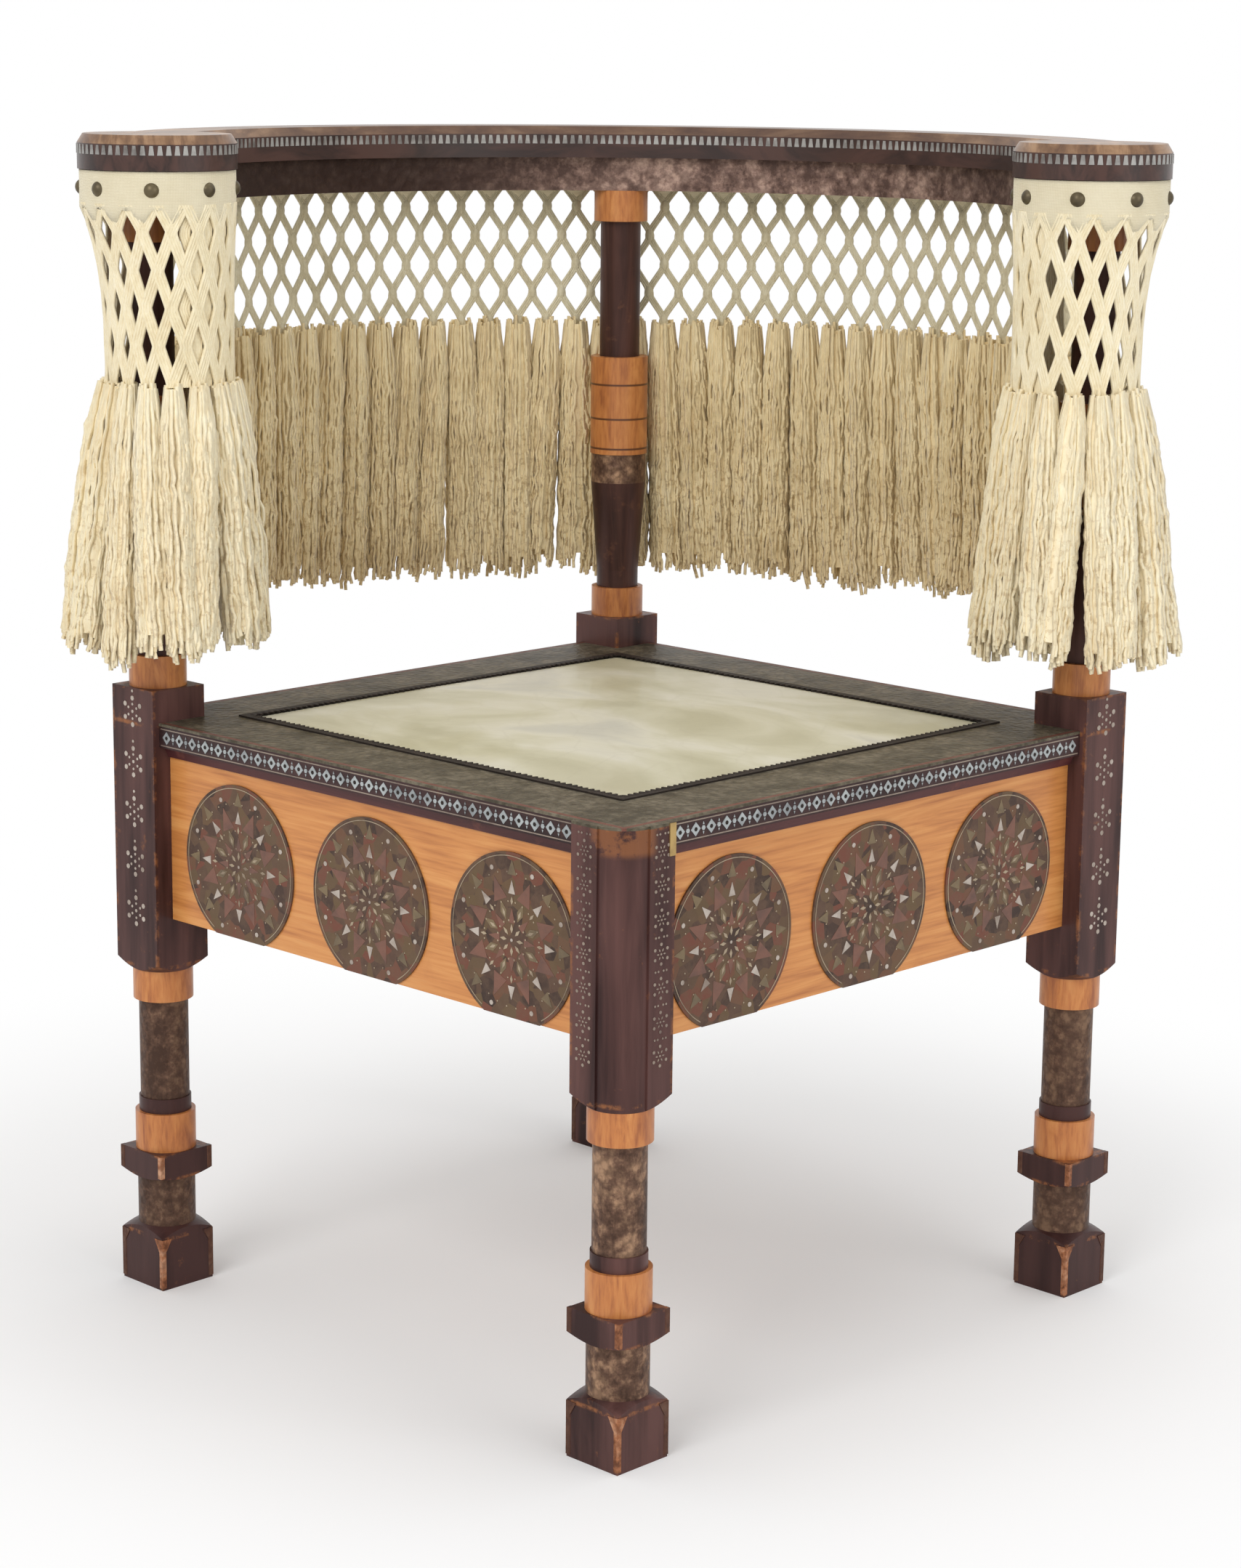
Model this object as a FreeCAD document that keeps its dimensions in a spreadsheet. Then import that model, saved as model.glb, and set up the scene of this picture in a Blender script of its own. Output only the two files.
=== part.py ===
"""Corner chair with a square parchment seat, a half-round crest rail and a knotted, tasselled hanging.

Millimetres, +Z up, floor at z = 0, the middle of the seat above the origin.
The front leg stands towards -Y, so the square seat is turned by 45 degrees.
"""
import FreeCAD, Part
import math
import os

import Sketcher

Vector = FreeCAD.Vector
UP = Vector(0, 0, 1)
SQUARE_TURN = 45.0
FULL_TURN = 360.0

SIZES = {
    # square plan of the four posts
    "post_spacing": 409.0,
    "post_width": 40.5,
    # leg, from the floor up
    "foot_height": 34.0,
    "foot_shoulder": 6.0,
    "ankle_radius": 18.3,
    "collar_bottom": 71.0,
    "collar_shoulder": 4.0,
    "collar_top": 89.5,
    "low_ring_height": 25.0,
    "low_ring_radius": 19.2,
    "bead_height": 9.5,
    "bead_radius": 16.6,
    "shin_radius": 15.6,
    "shin_top": 189.0,
    "high_ring_height": 20.0,
    "high_ring_radius": 19.0,
    "block_shoulder": 7.0,
    "tall_block_top": 391.0,
    "quarter_round_radius": 19.5,
    "quarter_round_step": 1.2,
    "sleeve_thickness": 0.8,
    "glue_gap": 0.05,
    "strip_width": 4.4,
    "strip_thickness": 0.4,
    "strip_foot_clearance": 1.5,
    # seat
    "seat_top": 370.6,
    "cladding_thickness": 1.6,
    "border_thickness": 13.4,
    "border_setback": 4.5,
    "border_width": 53.25,
    "rail_setback": 13.0,
    "rail_thickness": 20.0,
    "rail_bottom": 244.0,
    "tenon_length": 9.0,
    "tenon_thickness": 10.0,
    "tenon_height": 70.0,
    "moulding_height": 7.0,
    "moulding_top_depth": 5.0,
    "moulding_foot_depth": 1.6,
    "rosette_radius": 51.0,
    "rosette_thickness": 1.2,
    "rosette_pitch": 121.0,
    "rosette_shift": 4.2,
    "rosette_top_margin": 8.0,
    "brace_height": 50.0,
    "brace_reach": 65.0,
    "web_width": 50.0,
    "web_thickness": 2.0,
    "web_pitch": 105.0,
    "web_lap": 20.0,
    "soft_gap": 0.3,
    "pad_crown": 7.0,
    "parchment_thickness": 1.2,
    "parchment_drop": 1.0,
    "trim_width": 6.0,
    "trim_lap": 2.0,
    "trim_thickness": 1.0,
    # crest rail
    "crest_top": 730.0,
    "crest_thickness": 21.0,
    "crest_inner_reach": 24.2,
    "crest_outer_reach": 19.8,
    "crest_bevel_height": 5.5,
    "crest_bevel_depth": 3.5,
    "end_setback": 5.2,
    "end_radius": 48.4,
    "apron_height": 22.5,
    "apron_inner_setback": 10.0,
    "apron_outer_setback": 3.5,
    "apron_cladding": 1.4,
    "drum_radius": 45.5,
    # spindles
    "spindle_core": 13.0,
    "spindle_radius": 13.8,
    "spindle_tenon_radius": 9.0,
    "spindle_tenon_length": 16.0,
    "base_ring_height": 20.0,
    "base_ring_radius": 18.0,
    "vase_foot_height": 12.0,
    "vase_foot_radius": 14.4,
    "vase_height": 62.0,
    "vase_radius": 19.0,
    "band_height": 20.0,
    "barrel_height": 67.5,
    "barrel_radius": 19.8,
    "top_ring_height": 21.0,
    "top_ring_radius": 18.4,
    # textile hanging
    "textile_thickness": 1.5,
    "nail_radius": 5.0,
    "nail_sink": 2.2,
    "net_thickness": 2.0,
    "net_row_pitch": 19.4,
    "net_hole_share": 0.37,
    "net_hole_height": 26.0,
    "net_hole_side": 5.2,
    "waist_radius": 30.0,
    "tassel_clearance": 25.6,
    "tassel_top_radius": 4.5,
    "tassel_foot_radius": 8.5,
    "back_swing": 9.0,
    "skirt_radius": 53.0,
}

COUNTS = {
    "drum_nails": 8,
    "back_nails": 22,
    "net_rows": 5,
    "post_net_columns": 12,
    "back_net_columns": 40,
    "back_net_start": 10,
    "panel_columns": 2,
    "webs_each_way": 3,
    "rosettes_each_side": 3,
}

SIDES = ("front_right", "back_right", "back_left", "front_left")
CORNERS = ("front", "right", "back", "left")

os.makedirs("parts", exist_ok=True)
doc = FreeCAD.newDocument("corner_chair")
sheet = doc.addObject("Spreadsheet::Sheet", "Sizes")
for row, (alias, value) in enumerate(SIZES.items(), start=1):
    sheet.set("A%d" % row, alias)
    sheet.set("B%d" % row, str(value))
    sheet.setAlias("B%d" % row, alias)
doc.recompute()

nodes = []


def size(alias):
    """Value of one cell, for the shapes that are set directly."""
    return float(sheet.get(alias))


def cells(text):
    """Expression text with every size name pointed at its cell."""
    words = []
    word = ""
    for letter in text + " ":
        if letter.isalnum() or letter == "_":
            word += letter
            continue
        words.append("Sizes." + word if word in SIZES else word)
        words.append(letter)
        word = ""
    return "".join(words).strip()


def bind(thing, **expressions):
    """Bind properties to cells; x, y and z stand for the place of the thing."""
    for name, text in expressions.items():
        path = "Placement.Base." + name if name in ("x", "y", "z") else name
        thing.setExpression(path, cells(text))
    return thing


def node(thing, label):
    """Give a finished sub-part its name."""
    thing.Label = label
    nodes.append(thing)
    return thing


def box(length, width, height, x="0", y="0", z="0"):
    """Box with its middle at x, y and its underside at z."""
    solid = doc.addObject("Part::Box", "Box")
    bind(solid, Length=length, Width=width, Height=height)
    return bind(solid, x="(%s) - (%s) / 2" % (x, length), y="(%s) - (%s) / 2" % (y, width), z=z)


def cylinder(radius, height, z="0", x="0", y="0"):
    """Upright round bar."""
    return bind(doc.addObject("Part::Cylinder", "Cylinder"), Radius=radius, Height=height, x=x, y=y, z=z)


def cone(low_radius, high_radius, height, z):
    """Upright turned shoulder."""
    solid = doc.addObject("Part::Cone", "Cone")
    return bind(solid, Radius1=low_radius, Radius2=high_radius, Height=height, z=z)


def square_prism(width, height, z="0"):
    """Upright square bar with its corners on the X and Y axes."""
    solid = doc.addObject("Part::Prism", "Prism")
    solid.Polygon = 4
    return bind(solid, Circumradius="(%s) / sqrt(2)" % width, Height=height, z=z)


def fuse(parts):
    """Join solids that grow from one piece."""
    if len(parts) == 1:
        return parts[0]
    joined = doc.addObject("Part::MultiFuse", "Fuse")
    joined.Shapes = parts
    return joined


def group(parts):
    """Keep separate solids together under one name."""
    kept = doc.addObject("Part::Compound", "Group")
    kept.Links = parts
    return kept


def cut(base, tool):
    """Take one solid away from another."""
    left = doc.addObject("Part::Cut", "Cut")
    left.Base = base
    left.Tool = tool
    return left


def common(base, tool):
    """Keep what two solids share."""
    shared = doc.addObject("Part::Common", "Common")
    shared.Base = base
    shared.Tool = tool
    return shared


def tube(inner, outer, height, z):
    """Round sleeve."""
    return cut(cylinder(outer, height, z), cylinder(inner, height, z))


def turned(thing, degrees):
    """Turn a finished thing about the Z axis of the chair."""
    thing.Placement = FreeCAD.Placement(Vector(), FreeCAD.Rotation(UP, degrees))
    return thing


def at_corner(thing, corner):
    """Stand a thing that was made round the origin at one post."""
    reach = "post_spacing / sqrt(2)"
    places = {
        "front": ("0", "-" + reach),
        "right": (reach, "0"),
        "back": ("0", reach),
        "left": ("-" + reach, "0"),
    }
    x, y = places[corner]
    return bind(thing, x=x, y=y)


def plate(label, points, z, height, turn):
    """Flat board: a closed outline of expression points, padded upwards."""
    body = doc.addObject("PartDesign::Body", "Body")
    sketch = body.newObject("Sketcher::SketchObject", "Outline")
    floor = [f for f in body.Origin.OriginFeatures if f.Role == "XY_Plane"][0]
    sketch.AttachmentSupport = [(floor, "")]
    sketch.MapMode = "FlatFace"
    sketch.setExpression("AttachmentOffset.Base.z", cells(z))
    rough = [(math.cos(a), math.sin(a)) for a in
             [2 * math.pi * i / len(points) for i in range(len(points))]]
    ends = rough[1:] + rough[:1]
    for start, end in zip(rough, ends):
        sketch.addGeometry(Part.LineSegment(Vector(*start, 0), Vector(*end, 0)), False)
    for index in range(len(points)):
        following = (index + 1) % len(points)
        sketch.addConstraint(Sketcher.Constraint("Coincident", index, 2, following, 1))
    for index, (x, y) in enumerate(points):
        for kind, text, start in (("DistanceX", x, rough[index][0]), ("DistanceY", y, rough[index][1])):
            place = sketch.addConstraint(Sketcher.Constraint(kind, -1, 1, index, 1, start))
            sketch.setExpression("Constraints[%d]" % place, cells(text))
    pad = body.newObject("PartDesign::Pad", "Board")
    pad.Profile = sketch
    pad.setExpression("Length", cells(height))
    body.Tip = pad
    turned(body, turn)
    if label:
        node(body, label)
    return body


def shape_node(label, solids):
    """Sub-part whose solids are set directly."""
    kept = doc.addObject("Part::Feature", "Shape")
    kept.Shape = Part.makeCompound(solids) if len(solids) > 1 else solids[0]
    return node(kept, label)


# Legs: a square blank whose round parts, shoulders and necks are turned
BLANK_RADIUS = "post_width / sqrt(2) + 1"
BLOCK_BOTTOM = "shin_top + high_ring_height"
LOW_RING_TOP = "collar_top + low_ring_height"
BEAD_TOP = "collar_top + low_ring_height + bead_height"
SHIN_CORE = "shin_radius - sleeve_thickness - glue_gap"
ANKLE_CORE = "ankle_radius - sleeve_thickness - glue_gap"
FOOT_TOP = "foot_height + foot_shoulder"
PLATE_BOTTOM = "seat_top - cladding_thickness"
BORDER_BOTTOM = "seat_top - cladding_thickness - border_thickness"


def turned_envelope(top):
    """Everything that the lathe leaves of a leg, from the foot to the top of its block."""
    return fuse([
        cylinder(BLANK_RADIUS, "foot_height"),
        cone(BLANK_RADIUS, "ankle_radius", "foot_shoulder", "foot_height"),
        cylinder(ANKLE_CORE, "collar_bottom - (%s)" % FOOT_TOP, FOOT_TOP),
        cone("ankle_radius", BLANK_RADIUS, "collar_shoulder", "collar_bottom"),
        cylinder(BLANK_RADIUS, "collar_top - collar_bottom - collar_shoulder",
                 "collar_bottom + collar_shoulder"),
        cylinder(SHIN_CORE, "shin_top + high_ring_height - collar_top", "collar_top"),
        cylinder("bead_radius", "bead_height", LOW_RING_TOP),
        cone("high_ring_radius", BLANK_RADIUS, "block_shoulder", BLOCK_BOTTOM),
        cylinder(BLANK_RADIUS, "(%s) - (%s) - block_shoulder" % (top, BLOCK_BOTTOM),
                 "%s + block_shoulder" % BLOCK_BOTTOM),
    ])


def mortises(corner):
    """Two rail mortises in the inner faces of one block."""
    depth = "tenon_length"
    near = "post_width / 2 - tenon_length / 2"
    aside = "rail_setback + rail_thickness / 2 - post_width / 2"
    base = "rail_bottom + (%s - rail_bottom - tenon_height) / 2" % BORDER_BOTTOM
    holes = fuse([
        box(depth, "tenon_thickness", "tenon_height", near, aside, base),
        box("tenon_thickness", depth, "tenon_height", aside, near, base),
    ])
    return turned(holes, SQUARE_TURN + 90.0 * CORNERS.index(corner))


def spindle_socket():
    """Hole in the top of a tall block for the spindle's lower tenon."""
    return cylinder("spindle_tenon_radius", "spindle_tenon_length", "tall_block_top - spindle_tenon_length")


def quarter_round_waste(z, height):
    """What is taken off the outer corner of the front block to leave a stepped quarter-round."""
    side = "(quarter_round_radius + quarter_round_step)"
    centre = "-post_width / 2 + %s / 2" % side
    inner = "-post_width / 2 + %s" % side
    corner = box(side, side, height, centre, centre, z)
    kept = cylinder("quarter_round_radius", height, z, inner, inner)
    return turned(cut(corner, kept), SQUARE_TURN)


for corner in CORNERS:
    is_front = corner == "front"
    top = PLATE_BOTTOM if is_front else "tall_block_top"
    blank = common(square_prism("post_width", top), turned_envelope(top))
    if is_front:
        special = quarter_round_waste(BLOCK_BOTTOM, "(%s - (%s))" % (PLATE_BOTTOM, BLOCK_BOTTOM))
    else:
        special = spindle_socket()
    waste = [mortises(corner), special]
    node(at_corner(cut(blank, fuse(waste)), corner), "leg_" + corner)

    bore = "shin_radius - sleeve_thickness"
    rings = group([
        tube(bore, "low_ring_radius", "low_ring_height", "collar_top"),
        tube(bore, "high_ring_radius", "high_ring_height", "shin_top"),
    ])
    node(at_corner(rings, corner), "leg_rings_" + corner)

    sleeves = group([
        tube("ankle_radius - sleeve_thickness", "ankle_radius", "collar_bottom - (%s)" % FOOT_TOP, FOOT_TOP),
        tube(bore, "shin_radius", "shin_top - (%s)" % BEAD_TOP, BEAD_TOP),
    ])
    node(at_corner(sleeves, corner), "leg_sleeves_" + corner)

    strips = []
    strip_levels = [
        ("strip_foot_clearance", "foot_height"),
        ("collar_bottom + collar_shoulder", "collar_top"),
    ]
    for low, high in strip_levels:
        tall = "(%s) - (%s)" % (high, low)
        wide = "post_width + 2 * strip_thickness"
        shell = cut(square_prism(wide, tall, low), square_prism("post_width", tall, low))
        span = "2 * post_width"
        cross = fuse([box(span, "strip_width", tall, z=low), box("strip_width", span, tall, z=low)])
        strips.append(common(shell, cross))
    node(at_corner(group(strips), corner), "corner_strips_" + corner)

# Seat: four rails, four mitred border boards, mouldings and rosettes, one set for each side
HALF_RAIL = "(post_spacing - post_width) / 2"
OUTSIDE = "(post_spacing + post_width) / 2"
BORDER_OUT = "%s - border_setback" % OUTSIDE
HALF_OPENING = "(%s - border_width)" % BORDER_OUT
RAIL_MIDDLE = "-(%s) + rail_setback + rail_thickness / 2" % OUTSIDE
RAIL_FACE = "-(%s) + rail_setback" % OUTSIDE
MITRED_BORDER = [
    ("-(%s)" % HALF_RAIL, "-(%s)" % BORDER_OUT),
    (HALF_RAIL, "-(%s)" % BORDER_OUT),
    (HALF_RAIL, "-(%s)" % HALF_RAIL),
    (HALF_OPENING, "-(%s)" % HALF_OPENING),
    ("-(%s)" % HALF_OPENING, "-(%s)" % HALF_OPENING),
    ("-(%s)" % HALF_RAIL, "-(%s)" % HALF_RAIL),
]
TRIM_OUT = "(%s + trim_lap)" % HALF_OPENING
TRIM_IN = "(%s + trim_lap - trim_width)" % HALF_OPENING
MITRED_TRIM = [
    ("-" + TRIM_OUT, "-" + TRIM_OUT),
    (TRIM_OUT, "-" + TRIM_OUT),
    (TRIM_IN, "-" + TRIM_IN),
    ("-" + TRIM_IN, "-" + TRIM_IN),
]
POST_IN = "(-(%s))" % HALF_RAIL
RAIL_IN = "(-(%s) + rail_setback + rail_thickness)" % OUTSIDE
BRACE_FAR = "(-post_spacing / 2 + brace_reach)"
BRACE = [
    (POST_IN, RAIL_IN),
    (BRACE_FAR, RAIL_IN),
    (RAIL_IN, BRACE_FAR),
    (RAIL_IN, POST_IN),
    (POST_IN, POST_IN),
]

cladding = []
trims = []
braces = []
for index, side in enumerate(SIDES):
    turn = SQUARE_TURN + 90.0 * index
    rail_height = "%s - rail_bottom" % BORDER_BOTTOM
    tenon_base = "rail_bottom + (%s - tenon_height) / 2" % rail_height
    rail = fuse([
        box("2 * (%s)" % HALF_RAIL, "rail_thickness", rail_height, y=RAIL_MIDDLE, z="rail_bottom"),
        box("2 * (%s) + 2 * tenon_length" % HALF_RAIL, "tenon_thickness", "tenon_height",
            y=RAIL_MIDDLE, z=tenon_base),
    ])
    node(turned(rail, turn), "seat_rail_" + side)
    plate("seat_border_" + side, MITRED_BORDER, BORDER_BOTTOM, "border_thickness", turn)
    cladding.append(plate("", MITRED_BORDER, PLATE_BOTTOM, "cladding_thickness", turn))
    trims.append(plate("", MITRED_TRIM, "seat_top", "trim_thickness", turn))
    braces.append(plate("", BRACE, "%s - web_thickness * 2 - soft_gap - brace_height" % BORDER_BOTTOM,
                        "brace_height", turn))

    strip = doc.addObject("Part::Wedge", "Wedge")
    bind(strip, Xmin="0", X2min="0", Xmax="2 * (%s)" % HALF_RAIL, X2max="2 * (%s)" % HALF_RAIL)
    bind(strip, Ymin="0", Ymax="moulding_height", Zmin="0", Z2min="0")
    bind(strip, Zmax="moulding_foot_depth", Z2max="moulding_top_depth")
    bind(strip, x="-(%s)" % HALF_RAIL, y=RAIL_FACE, z="%s - moulding_height" % BORDER_BOTTOM)
    strip.Placement = FreeCAD.Placement(strip.Placement.Base, FreeCAD.Rotation(Vector(1, 0, 0), 90.0))
    node(turned(group([strip]), turn), "seat_moulding_" + side)

    shift_sign = "-" if index in (0, 2) else ""
    discs = []
    for place in range(COUNTS["rosettes_each_side"]):
        steps = place - (COUNTS["rosettes_each_side"] - 1) / 2
        disc = doc.addObject("Part::Cylinder", "Disc")
        bind(disc, Radius="rosette_radius", Height="rosette_thickness",
             x="%g * rosette_pitch + (%srosette_shift)" % (steps, shift_sign), y=RAIL_FACE,
             z="%s - moulding_height - rosette_top_margin - rosette_radius" % BORDER_BOTTOM)
        disc.Placement = FreeCAD.Placement(disc.Placement.Base, FreeCAD.Rotation(Vector(1, 0, 0), 90.0))
        discs.append(disc)
    face_room = box("2 * (%s)" % HALF_RAIL, "4 * rosette_thickness", rail_height,
                    y=RAIL_FACE, z="rail_bottom")
    node(turned(common(group(discs), face_room), turn), "rosettes_" + side)

front_cap = cut(square_prism("post_width", "cladding_thickness", PLATE_BOTTOM),
                quarter_round_waste(PLATE_BOTTOM, "cladding_thickness"))
node(group(cladding + [at_corner(front_cap, "front")]), "seat_border_cladding")
node(group(trims), "seat_trim")
node(group(braces), "corner_braces")

WEB_SPAN = "2 * (%s) + 2 * web_lap" % HALF_OPENING
for layer, label in enumerate(("webbing_upper", "webbing_lower")):
    webs = []
    for place in range(COUNTS["webs_each_way"]):
        steps = place - (COUNTS["webs_each_way"] - 1) / 2
        across = "%g * web_pitch" % steps
        height = "%s - %d * web_thickness" % (BORDER_BOTTOM, layer + 1)
        if layer == 0:
            webs.append(box(WEB_SPAN, "web_width", "web_thickness", y=across, z=height))
        else:
            webs.append(box("web_width", WEB_SPAN, "web_thickness", x=across, z=height))
    node(turned(group(webs), SQUARE_TURN), label)

# Crest rail, its apron and the drums under its round ends
CREST_BOTTOM = "crest_top - crest_thickness"
APRON_BOTTOM = "crest_top - crest_thickness - apron_height"
BEVEL_BOTTOM = "crest_top - crest_bevel_height"
PLAIN_HEIGHT = "crest_thickness - crest_bevel_height"
CREST_INNER = "(post_spacing / sqrt(2) - crest_inner_reach)"
CREST_OUTER = "(post_spacing / sqrt(2) + crest_outer_reach)"
END_CENTRE = "(post_spacing / sqrt(2) - end_setback)"
APRON_INNER = "(%s + apron_inner_setback)" % CREST_INNER
APRON_OUTER = "(%s - apron_outer_setback)" % CREST_OUTER


def half_ring(inner, outer, height, z):
    """Half of a flat ring, on the +Y side of the chair."""
    ring = cylinder(outer, height, z)
    ring.Angle = FULL_TURN / 2
    return cut(ring, cylinder(inner, height, z))


def bevelled_half_ring():
    """Bevelled top of the crest rail's arc."""
    outside = cone(CREST_OUTER, CREST_OUTER + " - crest_bevel_depth", "crest_bevel_height", BEVEL_BOTTOM)
    outside.Angle = FULL_TURN / 2
    inside = cone(CREST_INNER, CREST_INNER + " + crest_bevel_depth", "crest_bevel_height", BEVEL_BOTTOM)
    return cut(outside, inside)


crest = [half_ring(CREST_INNER, CREST_OUTER, PLAIN_HEIGHT, CREST_BOTTOM), bevelled_half_ring()]
for sign in ("-", ""):
    crest.append(cylinder("end_radius", PLAIN_HEIGHT, CREST_BOTTOM, sign + END_CENTRE))
    crest.append(bind(cone("end_radius", "end_radius - crest_bevel_depth", "crest_bevel_height",
                           BEVEL_BOTTOM), x=sign + END_CENTRE))
node(fuse(crest), "crest_rail")

BAND_RADIUS = "drum_radius + soft_gap + textile_thickness"


def drum_space(extra):
    """Room kept for both drums and the cloth round them."""
    return fuse([cylinder("%s + %s" % (BAND_RADIUS, extra), "apron_height", APRON_BOTTOM, sign + END_CENTRE)
                 for sign in ("-", "")])


def sockets(height):
    """Holes for the spindles' upper tenons."""
    reach = "post_spacing / sqrt(2)"
    return fuse([cylinder("spindle_tenon_radius", height, APRON_BOTTOM, x, y)
                 for x, y in (("-" + reach, "0"), ("0", reach), (reach, "0"))])


apron = half_ring(APRON_INNER, APRON_OUTER, "apron_height", APRON_BOTTOM)
node(cut(cut(apron, drum_space("soft_gap")), sockets("spindle_tenon_length")), "crest_apron")
sheet_ring = half_ring(APRON_INNER + " - apron_cladding", APRON_INNER, "apron_height", APRON_BOTTOM)
node(cut(sheet_ring, drum_space("soft_gap")), "apron_cladding")
for sign, side in (("-", "left"), ("", "right")):
    drum = cylinder("drum_radius", "apron_height", APRON_BOTTOM, sign + END_CENTRE)
    node(cut(drum, sockets("spindle_tenon_length")), "arm_drum_" + side)

# Spindles between the tall blocks and the crest
BASE_RING_TOP = "tall_block_top + base_ring_height"
VASE_BOTTOM = "tall_block_top + base_ring_height + vase_foot_height"
VASE_TOP = "tall_block_top + base_ring_height + vase_foot_height + vase_height"
BAND_TOP = VASE_TOP + " + band_height"
BARREL_TOP = BAND_TOP + " + barrel_height"
TOP_RING_BOTTOM = APRON_BOTTOM + " - top_ring_height"
bands = []
for corner in ("right", "back", "left"):
    spindle = fuse([
        cylinder("spindle_tenon_radius", "%s - tall_block_top + 2 * spindle_tenon_length" % APRON_BOTTOM,
                 "tall_block_top - spindle_tenon_length"),
        cylinder("spindle_core", "%s - tall_block_top" % APRON_BOTTOM, "tall_block_top"),
        cylinder("vase_foot_radius", "vase_foot_height", BASE_RING_TOP),
        cone("vase_foot_radius", "vase_radius", "vase_height", VASE_BOTTOM),
        cylinder("spindle_radius", "%s - (%s)" % (TOP_RING_BOTTOM, BARREL_TOP), BARREL_TOP),
    ])
    node(at_corner(spindle, corner), "spindle_" + corner)
    bore = "spindle_core + glue_gap"
    rings = group([
        tube(bore, "base_ring_radius", "base_ring_height", "tall_block_top"),
        tube(bore, "barrel_radius", "barrel_height", BAND_TOP),
        tube(bore, "top_ring_radius", "top_ring_height", TOP_RING_BOTTOM),
    ])
    node(at_corner(rings, corner), "spindle_rings_" + corner)
    bands.append(at_corner(tube(bore, "vase_radius", "band_height", VASE_TOP), corner))
node(group(bands), "spindle_bands")

# Textile band nailed round the drums and along the outside of the apron
band_solids = []
for sign in ("-", ""):
    middle = sign + END_CENTRE
    band_solids.append(cut(cylinder(BAND_RADIUS, "apron_height", APRON_BOTTOM, middle),
                           cylinder("drum_radius + soft_gap", "apron_height", APRON_BOTTOM, middle)))
back_band = half_ring(APRON_OUTER + " + soft_gap", APRON_OUTER + " + soft_gap + textile_thickness",
                      "apron_height", APRON_BOTTOM)
band_solids.append(cut(back_band, drum_space("soft_gap")))
node(group(band_solids), "textile_band")
doc.recompute()

# Domed nails
apron_bottom = size("crest_top") - size("crest_thickness") - size("apron_height")
nail_height = apron_bottom + size("apron_height") / 2
drum_face = size("drum_radius") + size("soft_gap") + size("textile_thickness")
post_reach = size("post_spacing") / math.sqrt(2)
end_centre = post_reach - size("end_setback")
apron_outer = post_reach + size("crest_outer_reach") - size("apron_outer_setback")
back_face = apron_outer + size("soft_gap") + size("textile_thickness")


def nail_head(centre, face_radius, angle):
    """Dome standing on a round cloth face, at an angle from +X."""
    reach = face_radius - size("nail_sink")
    place = centre + Vector(math.cos(angle), math.sin(angle), 0) * reach
    wall = Part.makeCylinder(face_radius, 4 * size("nail_radius"),
                             centre - UP * 2 * size("nail_radius"))
    return Part.makeSphere(size("nail_radius"), place).cut(wall)


heads = []
for side, first_nail in ((-1, 0.05), (1, 0.6)):
    centre = Vector(side * end_centre, 0, nail_height)
    for turn in range(COUNTS["drum_nails"]):
        angle = 2 * math.pi * (turn + first_nail) / COUNTS["drum_nails"] - math.pi / 2
        towards_apron = math.sin(angle) > 0 and abs(math.cos(angle)) < math.cos(math.pi / 4)
        if not towards_apron:
            heads.append(nail_head(centre, drum_face, angle))
arc_start = math.radians(COUNTS["back_net_start"])
for turn in range(COUNTS["back_nails"]):
    share = (turn + 0.5) / COUNTS["back_nails"]
    angle = arc_start + share * (math.pi - 2 * arc_start)
    heads.append(nail_head(Vector(0, 0, nail_height), back_face, angle))
shape_node("dome_nails", heads)

# Knotted net: flat holed panels that follow the posts and the crest
net_depth = COUNTS["net_rows"] * size("net_row_pitch") + size("soft_gap")


def opening_points(middle, height, share, drop):
    """Six corners of one opening, as shares of the panel's width and drops below its top."""
    half = size("net_hole_height") / 2
    side = size("net_hole_side") / 2
    return [(middle, height - half), (middle + share, height - side), (middle + share, height + side),
            (middle, height + half), (middle - share, height + side), (middle - share, height - side)]


def net_panel(top_width, foot_width, drop):
    """One holed face in the XZ plane: rows of openings, each row shifted by half a column."""
    columns = COUNTS["panel_columns"]
    share = size("net_hole_share") / columns

    def spot(across, down):
        """Point at a share of the local width and a depth under the top edge."""
        width = top_width + (foot_width - top_width) * down / drop
        return Vector(across * width, 0, -down)

    rows = COUNTS["net_rows"]
    pitch = size("net_row_pitch")
    rim = size("net_hole_height") / 2
    left_edge = []
    holes = []
    for row in range(rows):
        height = (row + 0.5) * pitch
        low = min(height + rim, drop - size("soft_gap"))
        high = max(height - rim, size("soft_gap"))
        if row % 2 == 0:
            middles = [(c + 0.5) / columns - 0.5 for c in range(columns)]
        else:
            middles = [(c + 1.0) / columns - 0.5 for c in range(columns - 1)]
            side = size("net_hole_side") / 2
            left_edge += [(-0.5, high), (-0.5 + share, height - side),
                          (-0.5 + share, height + side), (-0.5, low)]
        for middle in middles:
            corners = [(a, min(max(d, high), low)) for a, d in opening_points(middle, height, share, drop)]
            ring = [spot(a, d) for a, d in corners]
            holes.append(Part.Face(Part.makePolygon(ring + ring[:1])))
    outline = [spot(-0.5, 0)] + [spot(a, d) for a, d in left_edge] + [spot(-0.5, drop)]
    mirror = [Vector(-p.x, p.y, p.z) for p in reversed(outline)]
    sheet_face = Part.Face(Part.makePolygon(outline + mirror + outline[:1]))
    return sheet_face.cut(Part.makeCompound(holes)).Faces[0]


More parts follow.
